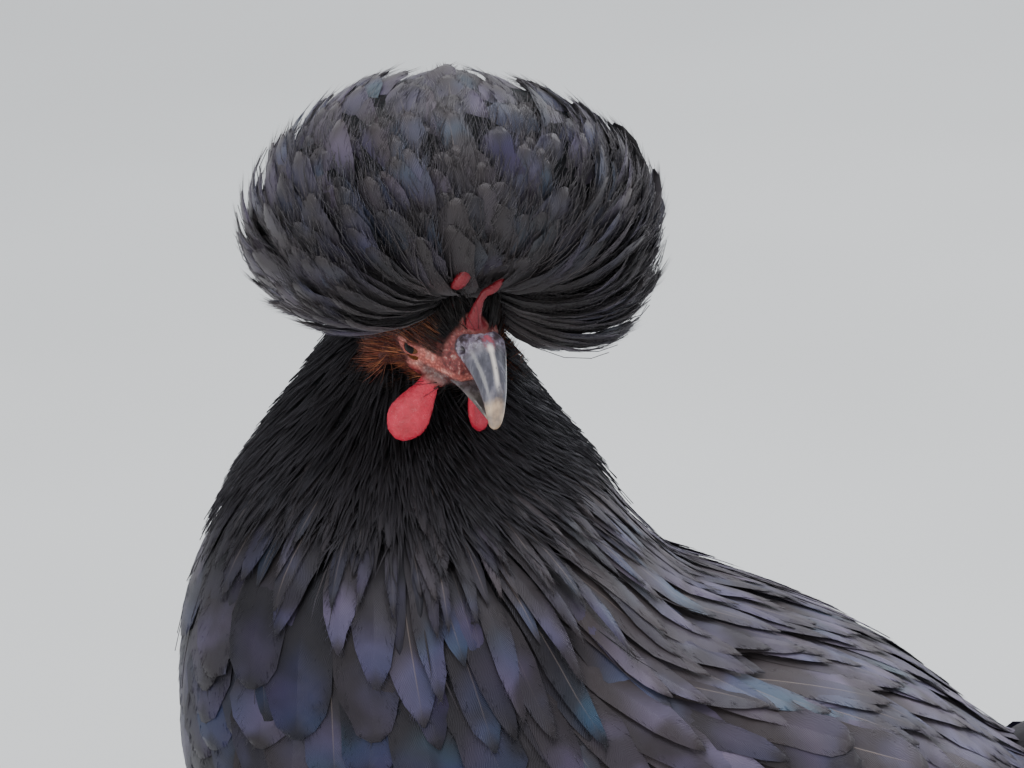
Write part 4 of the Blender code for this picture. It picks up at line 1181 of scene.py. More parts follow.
def lid_ring(side):
    """A lid's thick margin, laid on the eyeball round an almond opening."""
    eye, out = mirrored(EYE, side), eye_way(side)
    along = unit(ACROSS - out * out[0])
    across = np.cross(out, along)
    across = across * np.sign(across[2])

    def place(u, v):
        turn, roll = 2 * np.pi * v, 2 * np.pi * u
        flat = along * (np.cos(turn) * (LID_OPEN[0] + LID_INNER))[:, None]
        flat = flat + across * (np.sin(turn) * (LID_OPEN[1] + LID_INNER))[:, None]
        depth = np.sqrt(np.maximum((EYE_RADIUS + 0.02) ** 2 - np.sum(flat**2, 1), 0))
        middle = flat + out * depth[:, None]
        way = unit(flat)
        thick = LID_THICK * (1 + 0.25 * np.maximum(np.sin(turn), 0))
        return on_head(
            eye + middle + way * (thick * np.cos(roll))[:, None] + out * (thick * np.sin(roll))[:, None]
        )

    return place


def knobs(side):
    """A ripple that makes a horn of the comb lumpy, not alike on both sides."""
    return lambda u, v: 1 + 0.1 * np.sin(9 * v + 3 * side) * np.sin(2 * np.pi * u + 5 * v)


def head_form():
    """Skull, lids, comb, wattles and lobes grown into one finely meshed skin."""
    pieces = [
        wrapped("skull_form", skull_surface, 64, 60),
        wrapped("throat_form", neck_surface(0.3), 48, 40),
    ]
    for side, horn in ((1, HORN_LEFT), (-1, HORN_RIGHT)):
        line, radii = [on_head(row[:3]) for row in horn], [row[3] for row in horn]
        stalk = rod_surface(line, radii, 0.8, HEAD[0], knobs(side))
        pieces.append(wrapped("horn_form", stalk, 20, 30))
        pieces.append(wrapped("wattle_form", wattle_surface(side), 40, 40))
        pieces.append(wrapped("lid_form", lid_ring(side), 12, 48))
        for name, place, half in (("lobe", LOBE_PLACE, LOBE_HALF), ("cheek", CHEEK_PLACE, CHEEK_HALF)):
            swelling = ball_surface(on_head(mirrored(place, side)), half, HEAD)
            pieces.append(wrapped(name + "_form", swelling, 24, 20))
    form = joined("head_form", *pieces)
    bpy.ops.object.mode_set(mode="EDIT")
    bpy.ops.mesh.select_all(action="SELECT")
    plane = to_metres(UP * THROAT_CUT)
    bpy.ops.mesh.bisect(plane_co=tuple(plane), plane_no=(0, 0, 1), use_fill=True, clear_inner=True)
    bpy.ops.object.mode_set(mode="OBJECT")
    modified(form, "REMESH", mode="VOXEL", voxel_size=FACE_GRAIN * CM)
    modified(form, "SMOOTH", factor=0.5, iterations=4)
    return form


def shape_face(form):
    """Sinks the eye openings and raises the folds, wrinkles and grain of the bare face."""
    points = to_cm(read_points(form))
    normals = np.empty(len(points) * 3)
    form.data.vertices.foreach_get("normal", normals)
    normals = normals.reshape(-1, 3)
    local = from_head(points)
    lift = np.zeros(len(points))
    for side in (1, -1):
        out, eye = eye_way(side), mirrored(EYE, side)
        rel = local - eye
        depth = rel @ out
        flat = rel - out * depth[:, None]
        ring = np.sqrt((flat[:, 0] / LID_OPEN[0]) ** 2 + (flat[:, 2] / LID_OPEN[1]) ** 2)
        inside = (ring < 1.0) & (depth > 0)
        far = np.linalg.norm(rel, axis=1)
        sunk = np.minimum(far, EYE_RADIUS - 0.06 * step(1.0, 0.7, ring))
        rel = np.where(inside[:, None], rel / far[:, None] * sunk[:, None], rel)
        local = np.where(inside[:, None], rel + eye, local)
        away = np.hypot(flat[:, 0], flat[:, 2] * 1.15)
        near = (depth > -0.1) & (away > 0.5)
        folds = 0.018 * np.cos((away - 0.62) * 2 * np.pi / 0.2) * np.exp(-((away - 0.6) / 0.42) ** 2)
        lift += np.where(near, folds, 0)
        under = np.abs(flat[:, 2] + 0.62 + 0.12 * flat[:, 0])
        band = 0.05 * np.exp(-((under / 0.16) ** 2)) * step(1.6, 0.6, np.abs(flat[:, 0] - 0.3))
        lift += np.where(depth > 0, band, 0)
    forward, left, up = local.T
    lift += 0.012 * np.sin(forward * 21 + np.sin(up * 17) * 2) * np.sin(up * 24 + left * 13)
    write_points(form, to_metres(on_head(local) + normals * lift[:, None]))


def skin_regions(obj):
    """Red of comb and wattles, pale grain, plumage over the skin, corners of the mouth and the bill's rim."""
    points = to_cm(read_points(obj))
    local = from_head(points)
    forward, up = local[:, 0], local[:, 2]
    near = np.linalg.norm(local, axis=1) < 5
    hanging = np.zeros(len(points))
    comb, bare = hanging.copy(), hanging.copy()
    hanging[near] = on_wattle(points[near])
    comb[near] = on_comb(local[near])
    bare[near] = bareness(local[near])
    around = 0.2 * step(-1.9, -1.2, forward) * step(0.4, 0.0, up) * step(-1.7, -1.4, up)
    covered = 1 - np.where(near, np.maximum(bare, around), 0)
    put_attribute(obj, "region", stacked(np.maximum(comb, hanging), hanging, covered))
    left = np.abs(local[:, 1])
    mouth = step(-0.7, -0.86, up) * step(-1.35, -1.2, up) * step(0.5, 0.9, forward) * (1 - hanging)
    rim = step(1.5, 1.85, forward + 0.3 * left) * step(-0.75, -0.5, up) * (1 - comb)
    put_attribute(obj, "rim", stacked(mouth, rim, 0))


def make_skin():
    """The one skin under the coat; returns the form that the face's bristles grow on."""
    body = body_form("body_form", COAT_DEPTH, SKIN_GRAIN, 8)
    head = head_form()
    shape_face(head)
    ground = Ground(head)
    core = wrapped("core_form", crest_core, 48, 40)
    skin = joined("skin", body, head, core)
    skin_regions(skin)
    flesh = ["torso", "neck", "head", "comb", "thigh_left", "thigh_right"]
    flesh += ["wattle_left", "wattle_right", "lobe_left", "lobe_right"]
    finished(skin, skin_look(), "face_skin", *flesh)
    return ground


# feathers over the body


class Ground:
    """A closed form that a coat grows on, asked for its nearest point and outward way."""

    def __init__(self, obj):
        mesh = obj.data
        points = to_cm(read_points(obj))
        faces = [tuple(face.vertices) for face in mesh.polygons]
        self.tree = BVHTree.FromPolygons([tuple(p) for p in points], faces)
        mesh.calc_loop_triangles()
        corners = np.empty(len(mesh.loop_triangles) * 3, int)
        mesh.loop_triangles.foreach_get("vertices", corners)
        self.corners = points[corners.reshape(-1, 3)]

    def scattered(self, number, rng):
        """Random places all over the form, and the outward way at each."""
        a, b, c = self.corners[:, 0], self.corners[:, 1], self.corners[:, 2]
        cross = np.cross(b - a, c - a)
        area = np.linalg.norm(cross, axis=1)
        pick = rng.choice(len(area), number, p=area / area.sum())
        u, v = rng.random((2, number))
        over = u + v > 1
        u, v = np.where(over, 1 - u, u), np.where(over, 1 - v, v)
        points = a[pick] + (b - a)[pick] * u[:, None] + (c - a)[pick] * v[:, None]
        return points, unit(cross[pick])

    def traced(self, stations, roots, ways, lengths):
        """Paths that keep straight on over the form, and the outward way along them."""
        number, rows = len(roots), len(stations)
        path, outward = np.empty((number, rows, 3)), np.empty((number, rows, 3))
        gaps = np.diff(stations)
        for i in range(number):
            place, normal, _, _ = self.tree.find_nearest(Vector(roots[i]))
            way = Vector(ways[i])
            for r in range(rows):
                path[i, r], outward[i, r] = place, normal
                if r == rows - 1:
                    break
                way = (way - normal * way.dot(normal)).normalized()
                place, fresh, _, _ = self.tree.find_nearest(place + way * (lengths[i] * gaps[r]))
                normal = (normal + fresh * 1.5).normalized()
        return path, outward


def thinned(points, ways, across, along, rng):
    """Indices of points that keep apart by across sideways and by along in the lie of the feathers."""
    tree = KDTree(len(points))
    for i, p in enumerate(points):
        tree.insert(p, i)
    tree.balance()
    taken = np.zeros(len(points), bool)
    kept = []
    for i in rng.permutation(len(points)):
        if taken[i]:
            continue
        kept.append(i)
        near = np.array([j for _, j, _ in tree.find_range(points[i], max(across[i], along[i]))])
        gap = points[near] - points[i]
        run = gap @ ways[i]
        side = np.maximum(np.sum(gap**2, 1) - run**2, 0)
        taken[near[(run / along[i]) ** 2 + side / across[i] ** 2 < 1]] = True
    return np.array(kept)


def body_flow(points):
    """The lie of the plumage: away from the head down the neck and breast, then towards the tail."""
    away = unit(points - NECK_TOP)
    rear = step(-6.0, 9.0, points[:, 1] + 0.35 * (24 - points[:, 2]))[:, None]
    high = step(20.0, 24.0, points[:, 2])[:, None] * step(3.0, 8.0, points[:, 1])[:, None]
    way = away * (1 - rear) + unit(np.array((0.0, 1.0, -0.16))) * rear * 1.2
    way = way * (1 - high) + np.array((0.0, 1.0, -0.3)) * high
    leg = step(13.0, 10.5, points[:, 2])[:, None] * step(12.0, 9.0, points[:, 1])[:, None]
    return unit(way * (1 - leg) + np.array((0.0, 0.25, -1.0)) * leg)


def laid_flat(ways, normals):
    """The ways turned to run along a form with these normals."""
    return unit(ways - normals * np.sum(ways * normals, 1)[:, None])


def on_map(across, along):
    """A tuft's place on the map of its form, kept off the map's edges."""
    return stacked(across, along) * 0.96 + 0.02


def unwrapped(points):
    """Where places of the body lie on a map of it, laid out round its long axis."""
    angle = np.arctan2(points[:, 0], points[:, 2] - 18.5) / (2 * np.pi) + 0.5
    run = (points[:, 1] * 0.62 - (points[:, 2] - 18.0) * 0.78 + 24) / 48
    return on_map(angle, np.clip(run, 0, 1))


def on_wing(points):
    """How far inside the folded wing's area a place of the body lies, in centimetres."""
    edges = np.radians(curve(WING_EDGES, points[:, 1]))
    _, level, high, half = np.moveaxis(curve(TORSO, points[:, 1]), -1, 0)
    angle = np.arctan2((points[:, 2] - level) / (high - level), np.abs(points[:, 0]) / half)
    inside = np.minimum(angle - edges[:, 0], edges[:, 1] - angle) * 7.0
    ends = np.minimum(points[:, 1] - WING_FIRST, 17.0 - points[:, 1])
    return np.minimum(inside, ends)


def on_face(local):
    """Whether local places of the head lie on the face, which has bristles of its own."""
    return (local[:, 0] > -1.3) & (np.abs(local[:, 1]) < 1.9) & (local[:, 2] > -1.7)


def body_feathers():
    """Hairy hackle, then cape, breast, wing bow, saddle, belly and thigh feathers."""
    form = body_form("outer_form", 0.0, FORM_GRAIN, 36)
    ground = Ground(form)
    bpy.data.objects.remove(form)
    rng = np.random.default_rng(11)
    names = ("hackle_feathers", "back_feathers", "breast_feathers", "flank_feathers")
    coats = {name: Coat() for name in names}
    # spacing, depth and share of loose barbs of the outer layer and the one under it
    for wider, deeper, loose in ((1.0, 0.0, 1.0), (1.25, 0.16, 0.0)):
        points, normals = ground.scattered(70000, rng)
        keep = ~on_face(from_head(points)) & (points[:, 2] > 8.9)
        points, normals = points[keep], normals[keep]
        far = np.linalg.norm(points - NECK_TOP, axis=1)
        ways = laid_flat(body_flow(points), normals)
        y, z = points[:, 1], points[:, 2]
        grow = step(4.2, 9.0, far)
        back = step(0.0, 6.0, y + 0.9 * (z - 21.0))
        leg = step(13.5, 10.0, z)
        wing = step(-0.4, 0.6, on_wing(points))
        half = np.maximum(0.26 + 0.86 * grow - 0.55 * back - 0.55 * leg, 0.22)
        across = wider * np.maximum(0.28 + 0.62 * grow - 0.4 * back - 0.38 * leg, 0.25)
        along = across * (1.7 + 1.6 * back)
        length = np.maximum(2.3 + 3.5 * grow + 1.3 * back - 2.6 * leg, 1.8)
        hidden = (wing > 0) & (y > 13.0) & (z < 19.0)
        kept = thinned(points, ways, across, along, rng)
        kept = kept[~hidden[kept] & (far[kept] > 4.4)]
        points, ways, half, length, back, leg, grow, far = (
            a[kept] for a in (points, ways, half, length, back, leg, grow, far)
        )
        number = len(points)
        ways = unit(ways + 0.1 * rng.standard_normal((number, 3)))
        length = length * rng.uniform(0.85, 1.12, number)
        half = half * rng.uniform(0.85, 1.12, number)
        path, outward = ground.traced(ROUND.stations, points, ways, length)
        sunk = 0.3 + 0.35 * grow
        rise = rng.uniform(-0.03, 0.07, number) * (0.6 + grow) * (1 - 0.6 * back)
        share = ROUND.stations[None]
        sink = sunk[:, None] * (1 - share) ** 1.4 + deeper
        path = path + outward * (rise[:, None] * share**2 - sink)[..., None]
        # the upper rear body is browner, and there warm also lightens the painted sheen; the back gets more
        # painted sheen: painted sky reflection on its upward-facing feathers
        rear = step(-3.0, 5.0, points[:, 1])
        brown = 0.14 + 0.65 * rear * step(17, 20, points[:, 2])
        warm = np.clip(brown + 0.16 * rng.standard_normal(number), 0, 1)
        painted_sheen = np.clip(0.5 + 0.25 * back + 0.25 * rng.standard_normal(number), 0.05, 1)
        painted_sheen = painted_sheen * step(5.0, 7.5, far) * (1 - 0.8 * leg)
        plume = stacked(warm, painted_sheen, rng.random(number))
        roots = unwrapped(points)
        roll = 0.07 + rng.uniform(-0.04, 0.04, number)
        lance = (back > 0.45) | (far < 7.0)
        front = points[:, 1] < 1.5
        for name, group, vane, hairs, hair in (
            (names[0], lance & front, POINTED, 64, 0.42),
            (names[1], lance & ~front, POINTED, 36, 0.32),
            (names[2], ~lance & front, ROUND, 90, 0.36),
            (names[3], ~lance & ~front, ROUND, 80, 0.34),
        ):
            coats[name].feathers(
                vane, path[group], outward[group], half[group], roots[group], plume[group], rng,
                roll=roll[group], hairs=int(hairs * loose), hair=hair, lean=(12, 42),
            )
    for name, coat in coats.items():
        yield coat.made(name)
    yield neck_hairs(ground, rng)


def neck_hairs(ground, rng):
    """Fine hair-like hackle feathers of the upper neck, thinning out over the cape."""
    points, normals = ground.scattered(60000, rng)
    far = np.linalg.norm(points - NECK_TOP, axis=1)
    reach = far + 0.35 * np.maximum(points[:, 1] - 1.0, 0)
    chance = step(8.5, 5.5, reach) * 0.85 + 0.012 * step(13.0, 10.0, reach)
    keep = ~on_face(from_head(points)) & (rng.random(len(points)) < chance)
    points, normals, far = points[keep], normals[keep], far[keep]
    number = min(len(points), HAIR_LIMIT)
    points, normals, far = points[:number], normals[:number], far[:number]
    ways = unit(body_flow(points) + 0.14 * rng.standard_normal((number, 3)))
    length = (1.5 + 0.14 * far) * rng.uniform(0.7, 1.15, number)
    path, outward = ground.traced(SLIVER.stations, points, ways, length)
    share = SLIVER.stations[None]
    rise = rng.uniform(0.0, 0.16, number)[:, None] * share - 0.3 * (1 - share) ** 1.5
    path = path + outward * rise[..., None]
    half = 0.043 - 0.02 * step(6.5, 9.5, far)
    pale = step(7.0, 9.0, far) * rng.uniform(0.0, 1.0, number)
    plume = stacked(0.12 + 0.5 * pale, 0.2 * pale, 0.4 * rng.random(number))
    half = half * rng.uniform(0.7, 1.3, number)
    coat = Coat()
    coat.feathers(SLIVER, path, outward, half, unwrapped(points), plume, rng)
    return coat.made("neck_hairs")


def arched(run, turn, start, out, bend, share):
    """Paths, in head places, that rise from the skull and bend over to lie on the crest."""
    reach = start + (out - start) * np.sin(share * bend) / np.sin(bend)
    return hollowed(from_head(crest_point(run, turn, reach)))


def crest_feathers():
    """Long soft feathers that part over the bill and curl outward into a full globe."""
    rng = np.random.default_rng(23)
    middle = on_head(CREST_MIDDLE)
    coats = {"crest_front_feathers": Coat(), "crest_back_feathers": Coat()}
    # reach from the middle, gap sideways and lengthways, and half width, from the outer layer in
    layers = ((1.0, 0.55, 2.0, 0.64), (0.975, 0.6, 2.0, 0.68), (0.95, 0.7, 2.0, 0.74))
    for reach, across, along, size in layers:
        number = 12000
        polar = np.arccos(rng.uniform(-0.995, math.cos(math.radians(32)), number))
        turn = rng.uniform(0, 2 * np.pi, number)
        tips = crest_point(polar, turn, np.full(number, reach))
        ways = unit(tips - crest_point(polar - 0.1, turn, np.full(number, reach)))
        slim = 0.5 + 0.5 * step(0.6, 1.4, polar)
        kept = thinned(tips, ways, across * slim, along * slim, rng)
        polar, turn, slim = polar[kept], turn[kept], slim[kept]
        number = len(kept)
        long = np.radians(rng.uniform(50, 74, number)) * (0.6 + 0.4 * step(0.5, 1.5, polar))
        root = np.maximum(polar - long, math.radians(10))
        share = ROUND.stations[None]
        swerve = rng.uniform(-0.12, 0.12, number)[:, None] * share**2 / np.sin(polar).clip(0.3)[:, None]
        run = root[:, None] + (polar - root)[:, None] * share**1.1
        bend = CREST_BEND * rng.uniform(0.95, 1.15, number)[:, None]
        out = reach * rng.uniform(0.97, 1.02, number)[:, None]
        start = 0.45 + 0.15 * step(0.9, 0.5, polar)[:, None]
        local = arched(run, turn[:, None] + swerve, start, out, bend, share)
        path = on_head(local)
        clear = ~over_the_face(local[:, 3:]).any(1)
        outward = unit(path - middle)
        # the middle front of the crest, round the comb, is painted darker and nearly without painted sheen:
        # painted shade in the hollow behind the comb
        shaded_middle = step(1.9, 0.9, polar) * step(1.2, 0.4, np.abs(np.sin(turn)))
        warm = np.clip(0.4 - 0.25 * shaded_middle + 0.15 * rng.standard_normal(number), 0, 1)
        painted_sheen = np.clip(0.75 - 0.7 * shaded_middle + 0.2 * rng.standard_normal(number), 0, 1)
        plume = stacked(warm, painted_sheen, rng.random(number))
        roots = on_map(turn / (2 * np.pi), root / np.pi)
        half = size * slim * rng.uniform(0.8, 1.2, number)
        roll = rng.uniform(-0.22, 0.22, number)
        ahead = from_head(path)[:, -1, 0] > -2.2
        for coat, group in zip(coats.values(), (clear & ahead, clear & ~ahead)):
            coat.feathers(
                ROUND, path[group], outward[group], half[group], roots[group], plume[group], rng,
                camber=0.12, roll=roll[group], ragged=0.14, hairs=90, hair=0.75, lean=(6, 24),
            )
    return [coat.made(name) for name, coat in coats.items()]


def crest_hairs():
    """Fine loose feathers that spring from round the comb and lie over the front of the crest."""
    rng = np.random.default_rng(29)
    number = 2300
    polar = np.arccos(rng.uniform(-0.6, math.cos(math.radians(30)), number))
    turn = rng.normal(0, 1.0, number)
    root = np.maximum(polar - np.radians(rng.uniform(28, 60, number)), math.radians(9))
    share = STRAND.stations[None]
    run = root[:, None] + (polar - root)[:, None] * share
    swerve = rng.uniform(-0.16, 0.16, number)[:, None] * share**2
    bend = CREST_BEND * rng.uniform(1.0, 1.25, number)[:, None]
    out = rng.uniform(0.95, 1.02, number)[:, None]
    start = 0.5 + 0.2 * step(0.9, 0.5, polar)[:, None]
    local = arched(run, turn[:, None] + swerve, start, out, bend, share)
    path = on_head(local)
    clear = ~over_the_face(local[:, 2:]).any(1)
    centre = step(1.9, 0.8, polar) * step(1.3, 0.3, np.abs(turn))
    warm = np.clip(0.1 + 0.7 * centre * rng.uniform(0.3, 1.2, number), 0, 1)
    plume = stacked(warm, 0.2 * (1 - centre), 0.4 * rng.random(number))
    roots = on_map(turn / (2 * np.pi) % 1, root / np.pi)
    outward = unit(path - on_head(CREST_MIDDLE))
    half = rng.uniform(0.014, 0.036, number)
    coat = Coat()
    coat.feathers(STRAND, path[clear], outward[clear], half[clear], roots[clear], plume[clear], rng)
    return coat.made("crest_hairs")


def wing_feathers(side):
    """The folded flights, the longest ones lowest, with the great coverts over their roots."""
    rng = np.random.default_rng(31 + side)
    coat = Coat()
    # how many, Y of roots and of lowest and highest tip, shares of the wing, half width, lifts and make
    for count, root_y, tips_y, low, high, half, lifts, vane in (
        (6, 9.0, (19.4, 18.2), 0.12, 0.42, 0.62, (-0.5, -0.25, 0.0), POINTED),
        (11, 8.0, (18.2, 13.8), 0.1, 0.82, 0.9, (-0.55, -0.35, 0.0), ROUND),
        (11, 6.4, (13.6, 11.6), 0.06, 0.8, 0.85, (-0.6, -0.4, -0.05), ROUND),
    ):
        part = np.arange(count) / (count - 1)
        jitter = rng.uniform(-0.5, 0.5, (3, count))
        tip_y = tips_y[0] + (tips_y[1] - tips_y[0]) * part + jitter[0] * 0.5
        share = (low + (high - low) * part + jitter[1] * 0.02)[:, None] + 0.03 * vane.stations
        y = root_y + jitter[2][:, None] * 0.4 + (tip_y - root_y)[:, None] * vane.stations
        lift = np.interp(vane.stations, (0, 0.35, 1), lifts)[None]
        lift = lift + WING_STEP * (part * count)[:, None] * vane.stations
        lift = lift + wing_bulge(y, share) * WING_SHOWN
        path = wing_point(side, y, share, lift)
        outward = unit(wing_point(side, y, share, lift + 1.0) - path)
        warm = np.clip(0.6 + 0.15 * rng.standard_normal(count), 0, 1)
        painted_sheen = np.clip(0.5 + 0.3 * rng.standard_normal(count), 0.05, 1)
        roots = on_map((y[:, 0] + 4) / 24, np.clip(share[:, 0], 0, 1))
        widths = half * rng.uniform(0.92, 1.08, count)
        plume = stacked(warm, painted_sheen, rng.random(count))
        coat.feathers(vane, path, outward, widths, roots, plume, rng, roll=0.1 * side, hairs=30, hair=0.3)
    return coat.made("wing_feathers_left" if side > 0 else "wing_feathers_right")


def tail_feathers():
    """Tented main feathers and the coverts over them."""
    rng = np.random.default_rng(41)
    coat = Coat()
    # how many a side, first angle and gap, start, length and its loss, lift and its loss, width, make
    for count, first, gap, start, length, shorter, lift, lower, half, vane in (
        (7, 6, 12.5, 0.2, 14.4, 0.3, 0.4, 0.07, 1.05, ROUND),
        (5, 10, 17, 0.2, 9.5, 0.5, 0.45, 0.07, 0.85, ROUND),
        (6, 4, 14, 0.0, 7.0, 0.35, 0.4, 0.06, 0.75, POINTED),
        (9, 4, 16, -1.4, 6.0, 0.12, 0.1, 0.0, 0.75, POINTED),
        (6, 8, 26, -1.8, 4.6, 0.08, 0.1, 0.0, 0.85, ROUND),
    ):
        for side in (1, -1):
            k = np.arange(count)
            spread = 0.25 + 0.75 * np.minimum(vane.stations * 1.4, 1)
            fan = np.radians(first + gap * k)[:, None] * side * spread
            run = start + (length - shorter * k)[:, None] * vane.stations
            height = lift - lower * k + (0.05 if side > 0 else 0)
            height = height[:, None] * np.minimum(vane.stations / 0.25, 1)
            path = tail_point(run, fan, height)
            outward = unit(tail_point(run, fan, height + 1.0) - path)
            warm, painted_sheen = rng.uniform(0.1, 0.4, count), rng.uniform(0.4, 0.9, count)
            plume = stacked(warm, painted_sheen, rng.random(count))
            roots = stacked(0.5 + fan[:, -1] / (2 * np.pi), np.full(count, length / 20))
            coat.feathers(vane, path, outward, half, roots, plume, rng, hairs=30, hair=0.25)
    return coat.made("tail_feathers")


def face_bristles(ground):
    """Thin feathers of forehead, brow, ear, cheek and throat that sweep back over the bare skin."""
    rng = np.random.default_rng(53)
    points, normals = ground.scattered(90000, rng)
    local = from_head(points)
    up = local[:, 2]
    keep = (normals @ HEAD[1] * np.sign(local[:, 1]) > -0.3) & (points[:, 2] > 29.5) & (up < 2.0)
    keep &= (local[:, 0] > -1.9) & ((local[:, 0] > -1.5) | (up > -1.0)) & (up > -2.6)
    points, normals, local = points[keep], normals[keep], local[keep]
    keep = rng.random(len(points)) > bareness(local) * 1.1
    points, normals, local = points[keep][:BRISTLES], normals[keep][:BRISTLES], local[keep][:BRISTLES]
    number = len(points)
    forward, left, up = local[:, 0], np.abs(local[:, 1]), local[:, 2]
    low = step(0.2, -1.4, up)
    brow = step(0.4, 1.0, up)[:, None] * step(-0.5, 0.8, forward)[:, None]
    ways = stacked(-1, 0.2 * np.sign(local[:, 1]), 0.22 - 0.75 * low)
    ways = ways * (1 - brow) + stacked(-0.3, 0.5 * np.sign(local[:, 1]), 1) * brow
    throat = step(-1.0, -1.5, up) * step(0.9, 0.5, left)
    ways = ways * (1 - throat[:, None]) + np.array((-0.5, 0.0, -1.0)) * throat[:, None]
    ways = unit(ways + 0.08 * rng.standard_normal((number, 3))) @ HEAD
    length = (0.9 + 0.7 * step(-0.6, 0.4, up) + 0.5 * brow[:, 0]) * rng.uniform(0.55, 1.2, number)
    share = np.linspace(0, 1, 4)
    ways = laid_flat(ways, normals)
    rise = rng.uniform(0.02, 0.14, number)[:, None] * np.sin(share * 2.4)
    curl = ways[:, None] * share[None, :, None] + normals[:, None] * rise[..., None]
    path = points[:, None] - normals[:, None] * 0.03 + curl * length[:, None, None]
    rusty = step(1.0, 0.3, up) * step(-2.6, -1.7, up) * step(-2.3, -1.2, forward) * step(1.4, 0.8, forward)
    rusty = rusty * (1 - throat) * (1 - brow[:, 0])
    tint = np.clip(rusty * rng.uniform(0.1, 1.5, number), 0, 1)
    plume = stacked(tint, 0, rng.random(number))
    roots = stacked(local[:, 0] / 8 + 0.5, local[:, 2] / 8 + 0.5)
    coat = Coat()
    coat.strands(path, BRISTLE_RADIUS * rng.uniform(0.6, 1.2, number), roots, plume)
    return coat.made("face_bristles")


# bill, eyes, legs and claws


def upper_bill_shape(local):
    """Swells the raised nostrils, hollows them and sinks a groove between them."""
    for side in (1, -1):
        away = (local - mirrored(NOSTRIL, side)) / (0.5, 0.42, 0.42)
        swell = np.exp(-np.sum(away**2, -1) * 1.3)
        local = local + stacked(0, 0.08 * side * swell, 0.1 * swell)
        hole = (local - mirrored(NOSTRIL + (0.03, 0.06, -0.06), side)) / (0.18, 0.4, 0.11)
        sunk = np.exp(-np.sum(hole**2, -1) ** 1.5)
        local = local - stacked(0, 0.24 * side * sunk, 0.04 * sunk)
    forward, left, up = np.moveaxis(local, -1, 0)
    groove = np.exp(-((left / 0.09) ** 2)) * step(2.45, 2.1, forward) * step(0.3, 0.6, up)
    return local - stacked(0, 0, 0.04 * groove)


def make_bill(look):
    """Both halves of the bill, with their growth at the base, the nostril hole painted near-black as painted
    shade, fleshy spot, pale spot and a painted highlight along the ridge.
    """
    upper = wrapped("bill_upper_horn", bill_surface(UPPER_BILL, 1.0, upper_bill_shape), 72, 90)
    lower = wrapped("bill_lower_horn", bill_surface(LOWER_BILL, 0.62), 56, 60)
    for obj, node_name, up in ((upper, "bill_upper", 1.0), (lower, "bill_lower", 0.25)):
        local = from_head(to_cm(read_points(obj)))
        forward, left = local[:, 0], np.abs(local[:, 1])
        along = (forward - BILL_BASE) / BILL_REACH
        along = np.clip(along + step(-0.4, -1.5, local[:, 2]) * 0.12, 0, 1)
        growth = step(2.75, 2.3, forward + 0.2 * left)
        put_attribute(obj, "region", stacked(along, up, growth * up))
        folded = stacked(forward, left, local[:, 2])
        # the nostril opening, which is painted near-black as painted shade
        hole = np.linalg.norm((folded - NOSTRIL - (0.03, 0.0, -0.06)) / (0.17, 0.4, 0.11), axis=1)
        fleshy = np.linalg.norm((folded - (2.15, 0.0, 0.62)) / (0.5, 0.25, 0.35), axis=1)
        pale = np.linalg.norm((folded - (2.5, 0.0, 0.5)) / (0.2, 0.16, 0.3), axis=1)
        # a painted highlight along the ridge of the upper bill, added to the pale spot
        streak = step(0.12, 0.0, left) * step(2.3, 2.7, forward) * step(3.6, 3.2, forward)
        pale = np.maximum(step(1.1, 0.4, pale), 0.8 * streak)
        marks = stacked(step(1.2, 0.7, hole), step(1.1, 0.4, fleshy), pale)
        put_attribute(obj, "marks", marks * up)
        finished(obj, look, "bill_horn", node_name)


def make_eye(side, look):
    """An eyeball with a raised cornea, its iris and pupil drawn by the distance from its axis."""
    bpy.ops.object.select_all(action="DESELECT")
    bpy.ops.mesh.primitive_uv_sphere_add(segments=48, ring_count=32, radius=1)
    eye = bpy.context.active_object
    word = "left" if side > 0 else "right"
    eye.name = eye.data.name = "eyeball_" + word
    ball = read_points(eye)
    out = eye_way(side)
    along = unit(np.cross(UP, out))
    frame_ways = np.array((along, np.cross(out, along), out))
    flat = np.hypot(ball[:, 0], ball[:, 1]) * EYE_RADIUS
    dome = CORNEA_RISE * np.maximum(1 - (flat / CORNEA_RADIUS) ** 2, 0)
    dome = np.where(ball[:, 2] > 0, dome, 0)
    ring = np.where(ball[:, 2] > 0, flat, 1.0)
    shaped = ball * EYE_RADIUS + stacked(0, 0, dome)
    write_points(eye, to_metres(on_head(mirrored(EYE, side) + shaped @ frame_ways)))
    put_attribute(eye, "ring", stacked(ring, np.arctan2(ball[:, 1], ball[:, 0]), 0))
    return finished(eye, look, "eye", "eye_" + word)


def plates(count, sharp=6.0):
    """A ripple of overlapping plates over the front of a leg or the top of a toe."""

    def ripple(u, v):
        front = step(0.2, 0.75, np.sin(2 * np.pi * u))
        phase = (v * count) % 1.0
        return 1 + 0.11 * front * (phase - 0.5) * (1 - np.exp(-sharp * (1 - phase)))

    return ripple


